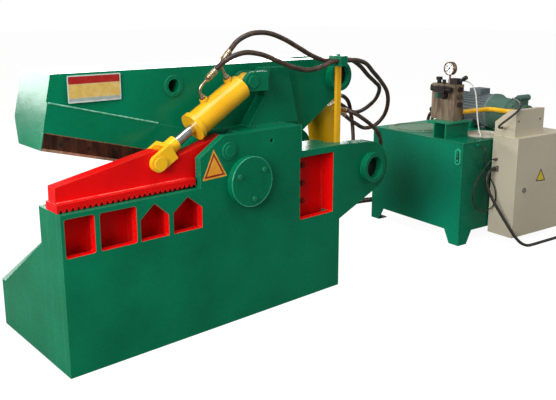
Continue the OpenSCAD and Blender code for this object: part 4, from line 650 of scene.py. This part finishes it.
REAR_EYE, FRONT_EYE = (1155, 1325), (545, 958)
CYLINDER_TILT = math.atan2(REAR_EYE[1] - FRONT_EYE[1], REAR_EYE[0] - FRONT_EYE[0])
CYLINDER_Y, PORT_TOP = 97.5, 88
PIPE_R, BEND_R, CRIMP_L = 8, 38, 62
BENT_PIPES = [(-290, 60, 75, 140, -14), (-105, 90, 75, 96, 0)]  # port, rise, lean, run and twist of each


def of_cylinder(x, y, z):
    """Point from the rear eye of the hold-down cylinder, along it, across it and up from it."""
    c, s = math.cos(CYLINDER_TILT), math.sin(CYLINDER_TILT)
    return Vector((REAR_EYE[0] + x * c - z * s, CYLINDER_Y + y, REAR_EYE[1] + x * s + z * c))


def turned(name, point_at, profile, sides):
    """Turned or hexagonal part from its profile of heights and radii; point_at gives the point at a height."""
    return tube(name, [point_at(h) for h, r in profile], [r / 1000 for h, r in profile], sides)


def bent_pipe(port, rise, lean, run, twist):
    """Pipe that rises from its port and then leans over, with its nut, collar, union and ferrule."""
    lean, twist = math.radians(lean), math.radians(twist)

    def place(out, up):
        return metres(of_cylinder(port + out * math.cos(twist), out * math.sin(twist), PORT_TOP + up))

    def rising(h):
        return place(0, h)

    def leaning(d):
        return place(d * math.sin(lean), rise + d * math.cos(lean))

    round_off = min(BEND_R, rise * 0.6)  # how far from its corner the bend starts and ends
    curve = []
    for t in (k / 10 for k in range(11)):
        before, after = (1 - t) ** 2 * round_off, t * t * round_off
        curve.append(place(after * math.sin(lean), rise - before + after * math.cos(lean)))
    tip = [leaning(d) for d in range(int(round_off) + 6, run - CRIMP_L, 8)]
    crimp = [leaning(d) for d in range(run - CRIMP_L, run + 1, CRIMP_STEP)]
    return [tube("pipe", [rising(0)] + curve + tip + crimp[:1], PIPE_R / 1000, 16),
            turned("nut", rising, [(0, 15.5), (1.5, 17.5), (14.5, 17.5), (16, 15.5)], 6),
            turned("collar", rising, [(16, 10), (17, 11.5), (25, 11.5), (26, 9.5)], 18),
            turned("union", leaning, [(run - 78, 11), (run - 76, 13), (run - 64, 13), (run - 62, 12)], 6),
            tube("ferrule", crimp, crimped(len(crimp)), 18)]


def merged(name, pieces):
    """One piece made of several; the pieces themselves go."""
    mesh = bmesh.new()
    for piece in pieces:
        mesh.from_mesh(piece.data)
        bpy.data.meshes.remove(piece.data)
    data = bpy.data.meshes.new(name)
    mesh.to_mesh(data)
    mesh.free()
    piece = link(name, data, True)
    data.set_sharp_from_angle(angle=math.radians(40))
    return piece


pipes = merged("holddown_bent_pipes", [part for pipe in BENT_PIPES for part in bent_pipe(*pipe)])
coat(pipes, zinc)
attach(pipes, "holddown_barrel")
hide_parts("holddown_elbows")

# ---------- Valve block ----------
# A block of phosphated steel on a stand carries black valves, screwed into it or bolted on. Phosphate is crystalline:
# it looks matt and drinks oil, which leaves brown clouds.
phosphate = metal("block_steel_phosphated", "#97836b", "#54402e", 0.5, 22.0, 0.15, stretch=(1, 1, 0.2), metallic=0.3)
coat("manifold_block", phosphate)
valve_black = metal("valve_body_phosphate_black", "#45413c", "#201d1b", 0.45, 50.0, 0.15, metallic=0.4)
coat("relief_knob", valve_black)
# one cartridge has a green cap and one a grey cap
coat("control_valves", enamel("valve_phosphate_and_caps", "#36322e", "#6d6a66", "#1f1c1a", gloss=0.36, fields=[
    (of_unit(84, 352, 1078), (17, 22, 22), "#2f6a52"), (of_unit(177, 200, 1074), (22, 12, 22), "#4a4744")]))

# ---------- Pressure gauge ----------
# A bronzed steel case, screwed on the block by its stem, holds a dial of white enamel on tin with grey print. A
# flat glass closes it, pressed in by a browned brass ring.
coat("pressure_gauge", metal("gauge_case_bronzed", "#b9a595", "#6f5646", 0.3, 60.0))
GAUGE = Vector((185, 322, 1278))
DIAL_IN, DIAL_R, TICKS_R, NUMBERS_R = 10, 44.3, 40, 27
BEZEL_R, BEZEL_OUT, BEZEL_WIRE = 47.6, 7.5, 2.6
ZERO_AT, SWEEP, DIVISIONS = 225, 270, 40  # degrees, and how many divisions they hold


def on_gauge(u, v, w):
    """Point right of the gauge's middle as one reads it, above it, and out from its dial towards the reader."""
    return of_unit(GAUGE.x - DIAL_IN - w, GAUGE.y - u, GAUGE.z + v)


def dial_way(k):
    """Direction of that division from the middle of the dial."""
    a = math.radians(ZERO_AT - SWEEP * k / DIVISIONS)
    return Vector((math.cos(a), math.sin(a)))


dial_white = film("dial_enamel_white", "#efede6", "#f7f6f1")
dial_print = film("dial_print_grey", "#8d8883", "#9b9691")
disc = circle(0, 0, DIAL_R, 64)
dial = [(disc, 0.2, 0.8, dial_white)]
for k in range(DIVISIONS + 1):
    outwards = dial_way(k)
    across = outwards.orthogonal()
    long = 8 if k % 10 == 0 else 5 if k % 5 == 0 else 3
    half = 0.7 if k % 10 == 0 else 0.4
    ends = [outwards * r + across * side for r, side in
            ((TICKS_R, -half), (TICKS_R, half), (TICKS_R - long, half), (TICKS_R - long, -half))]
    dial.append(([tuple(e) for e in ends], 0.8, 0.95, dial_print))
layered("gauge_dial", dial, on_gauge, "frame")
numbers = []
for k in range(0, DIVISIONS + 1, 10):
    digits = bpy.data.curves.new("number", "FONT")
    digits.body, digits.size, digits.align_x, digits.align_y = str(k), 6, "CENTER", "CENTER"
    digits.extrude = 0.05
    text = bpy.data.objects.new("number", digits)
    flat = text.to_mesh()
    mesh = bpy.data.meshes.new("gauge_number")
    where = dial_way(k) * NUMBERS_R
    mesh.from_pydata([metres(on_gauge(v.co.x + where.x, v.co.y + where.y, 0.9 + v.co.z)) for v in flat.vertices], [],
                     [tuple(f.vertices) for f in flat.polygons])
    text.to_mesh_clear()
    bpy.data.objects.remove(text)
    numbers.append(link("number", mesh))
print_on_dial = merged("gauge_numbers", numbers)
coat(print_on_dial, dial_print)
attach(print_on_dial, "frame")

# Clear pane, a little smeared: a low IOR keeps the thick disc from bending the view of the dial behind it.
glass, at = new_material("gauge_glass")
smear = add_node(glass, "ShaderNodeTexNoise", Vector=at, Scale=60.0)
haze = add_node(glass, "ShaderNodeMapRange", i0=smear.outputs["Fac"], i3=0.02, i4=0.12)
skin = add_node(glass, "ShaderNodeBsdfPrincipled", Base_Color=(1, 1, 1, 1), Roughness=haze.outputs[0], IOR=1.1,
                Transmission_Weight=1.0)
add_node(glass, "ShaderNodeOutputMaterial", Surface=skin.outputs[0])
layered("gauge_glass", [(disc, 5.6, 7.2, glass)], on_gauge, "frame")
bezel_line = circle(0, 0, BEZEL_R, 64)
bezel = tube("gauge_bezel", [metres(on_gauge(u, v, BEZEL_OUT)) for u, v in bezel_line + bezel_line[:1]],
             BEZEL_WIRE / 1000, 10)
coat(bezel, metal("bezel_brass_browned", "#8d6d55", "#4c3426", 0.32, 60.0))
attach(bezel, "frame")
coat("gauge_needle", black_oxide)

# ---------- Motor and pump ----------
# Cast-iron housings bolted end to end, the ribbed motor grey and the bell and pump grey-green. Iron castings keep a
# grainy skin, so their enamel is duller than on the plates.
cast_grey = enamel("cast_iron_enamel_grey", "#7d8889", "#c8cecd", "#596465", gloss=0.4)
cast_green = enamel("cast_iron_enamel_green", "#557568", "#a9c9b8", "#3d5c50", gloss=0.38)
coat("motor_housing", cast_grey)
coat("bell_housing", cast_green)
coat("hydraulic_pump", cast_green)

# ---------- Tank fittings ----------
# The tank is welded sheet. Two zinc-plated covers are bolted on its lid, and the oil level shows through a slot in an
# oblong cast frame on its left face, held by two hollow screws.

# the large cover is oily and tinted green by overspray, the small one is nearly clean
coat("tank_covers", enamel("cover_zinc_overspray", "#cfc9ba", "#f2efe2", "#a39c8b", gloss=0.34, patch=7.0, fields=[
    (of_unit(240, 700, 778), (232, 232, 30), "#6f9078")]))


def on_left_face(u, v, w):
    """Point on the tank's left face: along it, up it, and out from it."""
    return of_unit(-w, u, v)


deep_glass = film("level_glass_dark", "#06382a", "#0f4a38")
cast_rim = enamel("level_gauge_enamel", "#1fae86", "#8fe0c4", "#07805c", gloss=0.16)
level = [(rounded(8, 604, 70, 732, 28), 0, 3, green), (rounded(13, 609, 65, 727, 24), 3, 9, cast_rim),
         (rounded(24, 620, 54, 716, 14), 9, 9.6, deep_glass)]
for height in (640, 696):
    level.append((circle(39, height, 8, 16), 9.6, 12, cast_rim))
layered("level_gauge", level, on_left_face, "frame")
LID_Z = 770
bead("tank_seam_corner", [of_unit(0, 0, 104), of_unit(0, 0, LID_Z)], 5, "frame", green)
bead("tank_seam_front", [of_unit(4, 0, LID_Z), of_unit(896, 0, LID_Z)], 3.5, "frame", green)
bead("tank_seam_left", [of_unit(0, 4, LID_Z), of_unit(0, 946, LID_Z)], 3.5, "frame", green)

# ---------- Cabinet ----------
# Box, door and console are folded from sheet steel, welded at the corners and powder coated in pebble beige, a dull
# skin with a fine pebbled grain. The black cable glands and screws and the nickelled lock are fixed on afterwards.
powder = enamel("powder_coat_beige", "#d2c8b2", "#efe8d6", "#c6bca5", gloss=0.42, wear_and_highlight=0.45, patch=1.4, fields=[
    (of_unit(358, -192, 925), (7, 3, 7), "#2b2926"), (of_unit(603, -192, 925), (7, 3, 7), "#2b2926"),
    (of_unit(305, -54, 559), (11, 22, 22), "#3a3733"), (of_unit(297, -54, 631), (17, 13, 13), "#3a3733")])
for name in ("cabinet_box", "cabinet_door", "control_console"):
    coat(name, powder)
coat("door_lock", metal("zinc_alloy_nickelled", "#e0dfda", "#a5a39d", 0.2, 60.0))
DOOR_Y = -230


def on_door(u, v, w):
    """Point along the door's face, up it, and out from it."""
    return of_unit(u, DOOR_Y - w, v)


# the rose round the lock is a darker nickel than the lock: painted shade round it
lock_rose_shaded = metal("lock_rose_nickel_painted_shade", "#8f8b84", "#5c5852", 0.3, 60.0)
layered("lock_rose", [(circle(423, 414, 20, 32), 0, 0.28, lock_rose_shaded)], on_door, "door")
yellow_film = film("vinyl_yellow", "#e3c52a", "#ead25a")
black_film = film("vinyl_black", "#2b2822", "#3d3930")
door_sign = [(553, 463), (669, 456), (608, 557)]
layered("door_sign", [(door_sign, 0, 0.3, black_film), (inset(door_sign, 8), 0.3, 0.5, yellow_film)], on_door, "door")
# contactors black, one box blue-grey and one white, terminals straw, all on a zinc-plated sheet
CONTACTORS = [((456 + 130 * i, -92, 450), (45, 46, 56), "#26282a") for i in range(3)]
TERMINALS = [((475 + 118 * i, -74, 250), (61, 28, 30), "#c9b682") for i in range(3)]
OTHERS = [((471, -88, 650), (60, 42, 57), "#3d4a55"), ((671, -94, 650), (70, 44, 52), "#d8d4c8")]
coat("switchgear", enamel("switchgear_on_zinc_sheet", "#b9bdb9", "#e0e3e0", "#8f9491", gloss=0.45, fields=[
    (of_unit(*middle), half, colour) for middle, half, colour in CONTACTORS + TERMINALS + OTHERS]))
# the buttons and the plug are moulded in coloured plastic, glossy and even
coat("start_button", enamel("button_plastic_green", "#1f8a3a", "#59c274", "#146428", gloss=0.35))
coat("emergency_stop", enamel("button_plastic_red", "#c01818", "#e86060", "#8f1010", gloss=0.35))
coat("mains_plug", enamel("plug_plastic_red", "#b02020", "#e06464", "#7f1414", gloss=0.4))

# ---------- Floor and light ----------
# A seamless pale floor under a bright, even studio: a large soft light at the jaw's side, one above and a weak one
# at the cabinet's side, and two tall windows behind. The floor looks white, but it throws back only the light of a
# mid-grey one, stays darker in reflections, and keeps the machine's shadow.
floor_material, at = new_material("floor_pale")
trowel = add_node(floor_material, "ShaderNodeTexNoise", Vector=at, Scale=3.0)
tone = add_node(floor_material, "ShaderNodeValToRGB", {"stops": ((0.0, "#6c6c6a"), (1.0, "#747472"))},
                Fac=trowel.outputs["Fac"])
matt = add_node(floor_material, "ShaderNodeBsdfDiffuse", Color=tone.outputs["Color"])
glow = add_node(floor_material, "ShaderNodeEmission", Color=(1, 1, 1, 1), Strength=0.94)
rays = add_node(floor_material, "ShaderNodeLightPath")
mirrored = add_node(floor_material, "ShaderNodeMath", {"operation": "MULTIPLY"}, i0=rays.outputs["Is Glossy Ray"],
                    i1=0.08)
share = add_node(floor_material, "ShaderNodeMath", {"operation": "MAXIMUM"}, i0=rays.outputs["Is Camera Ray"],
                 i1=mirrored.outputs[0])
dark = add_node(floor_material, "ShaderNodeEmission", Color=(0, 0, 0, 1), Strength=0.0)
lift = add_node(floor_material, "ShaderNodeMixShader", i0=share.outputs[0], i1=dark.outputs[0], i2=glow.outputs[0])
both = add_node(floor_material, "ShaderNodeAddShader", i0=matt.outputs[0], i1=lift.outputs[0])
add_node(floor_material, "ShaderNodeOutputMaterial", Surface=both.outputs[0])
FLOOR, UNDER = 60, -0.001  # half its side, and how far it lies under the feet
floor_mesh = bpy.data.meshes.new("floor")
floor_mesh.from_pydata([(x * FLOOR, y * FLOOR, UNDER) for x, y in ((-1, -1), (1, -1), (1, 1), (-1, 1))], [],
                       [(0, 1, 2, 3)])
floor = link("floor", floor_mesh)
floor_mesh.materials.append(floor_material)

world = bpy.data.worlds.new("studio")
bpy.context.scene.world = world
world.use_nodes = True
world.node_tree.nodes.clear()
rays = add_node(world, "ShaderNodeLightPath")
seen = add_node(world, "ShaderNodeMath", {"operation": "MAXIMUM"}, i0=rays.outputs["Is Camera Ray"],
                i1=rays.outputs["Is Transmission Ray"])
mirrored = add_node(world, "ShaderNodeMapRange", i0=rays.outputs["Is Glossy Ray"], i3=0.26, i4=0.36)
level = add_node(world, "ShaderNodeMapRange", i0=seen.outputs[0], i3=mirrored.outputs[0], i4=1.0)
sky = add_node(world, "ShaderNodeBackground", Color=(1, 1, 1, 1), Strength=level.outputs[0])
add_node(world, "ShaderNodeOutputWorld", Surface=sky.outputs[0])


def soft_light(name, at, towards, size, power, high=None):
    """Rectangular light that the camera doesn't see; it is square unless its height is given."""
    data = bpy.data.lights.new(name, "AREA")
    data.shape, data.size, data.size_y, data.energy = "RECTANGLE", size, high or size, power
    light = bpy.data.objects.new(name, data)
    light.location = at
    light.visible_camera = False
    light.rotation_euler = (Vector(towards) - Vector(at)).to_track_quat("-Z", "Y").to_euler()
    bpy.context.scene.collection.objects.link(light)


soft_light("key", (-4.6, -2.2, 2.9), (0, 0, 0.6), 3.0, 320)
soft_light("top", (0.5, -1.5, 6.5), (1.0, 0.2, 0), 3.4, 200)
soft_light("side", (5.5, -6.0, 3.5), (1.5, 0, 0.6), 4.0, 55)
# the windows behind show as gloss on the top faces and on the end of the arm
soft_light("window_back", (3.15, 4.15, 1.8), (1.6, -0.6, 1.2), 4.5, 119, high=1.3)
soft_light("window_left", (-3.1, 5.4, 2.25), (-0.85, -0.1, 1.3), 4.0, 210, high=1.3)
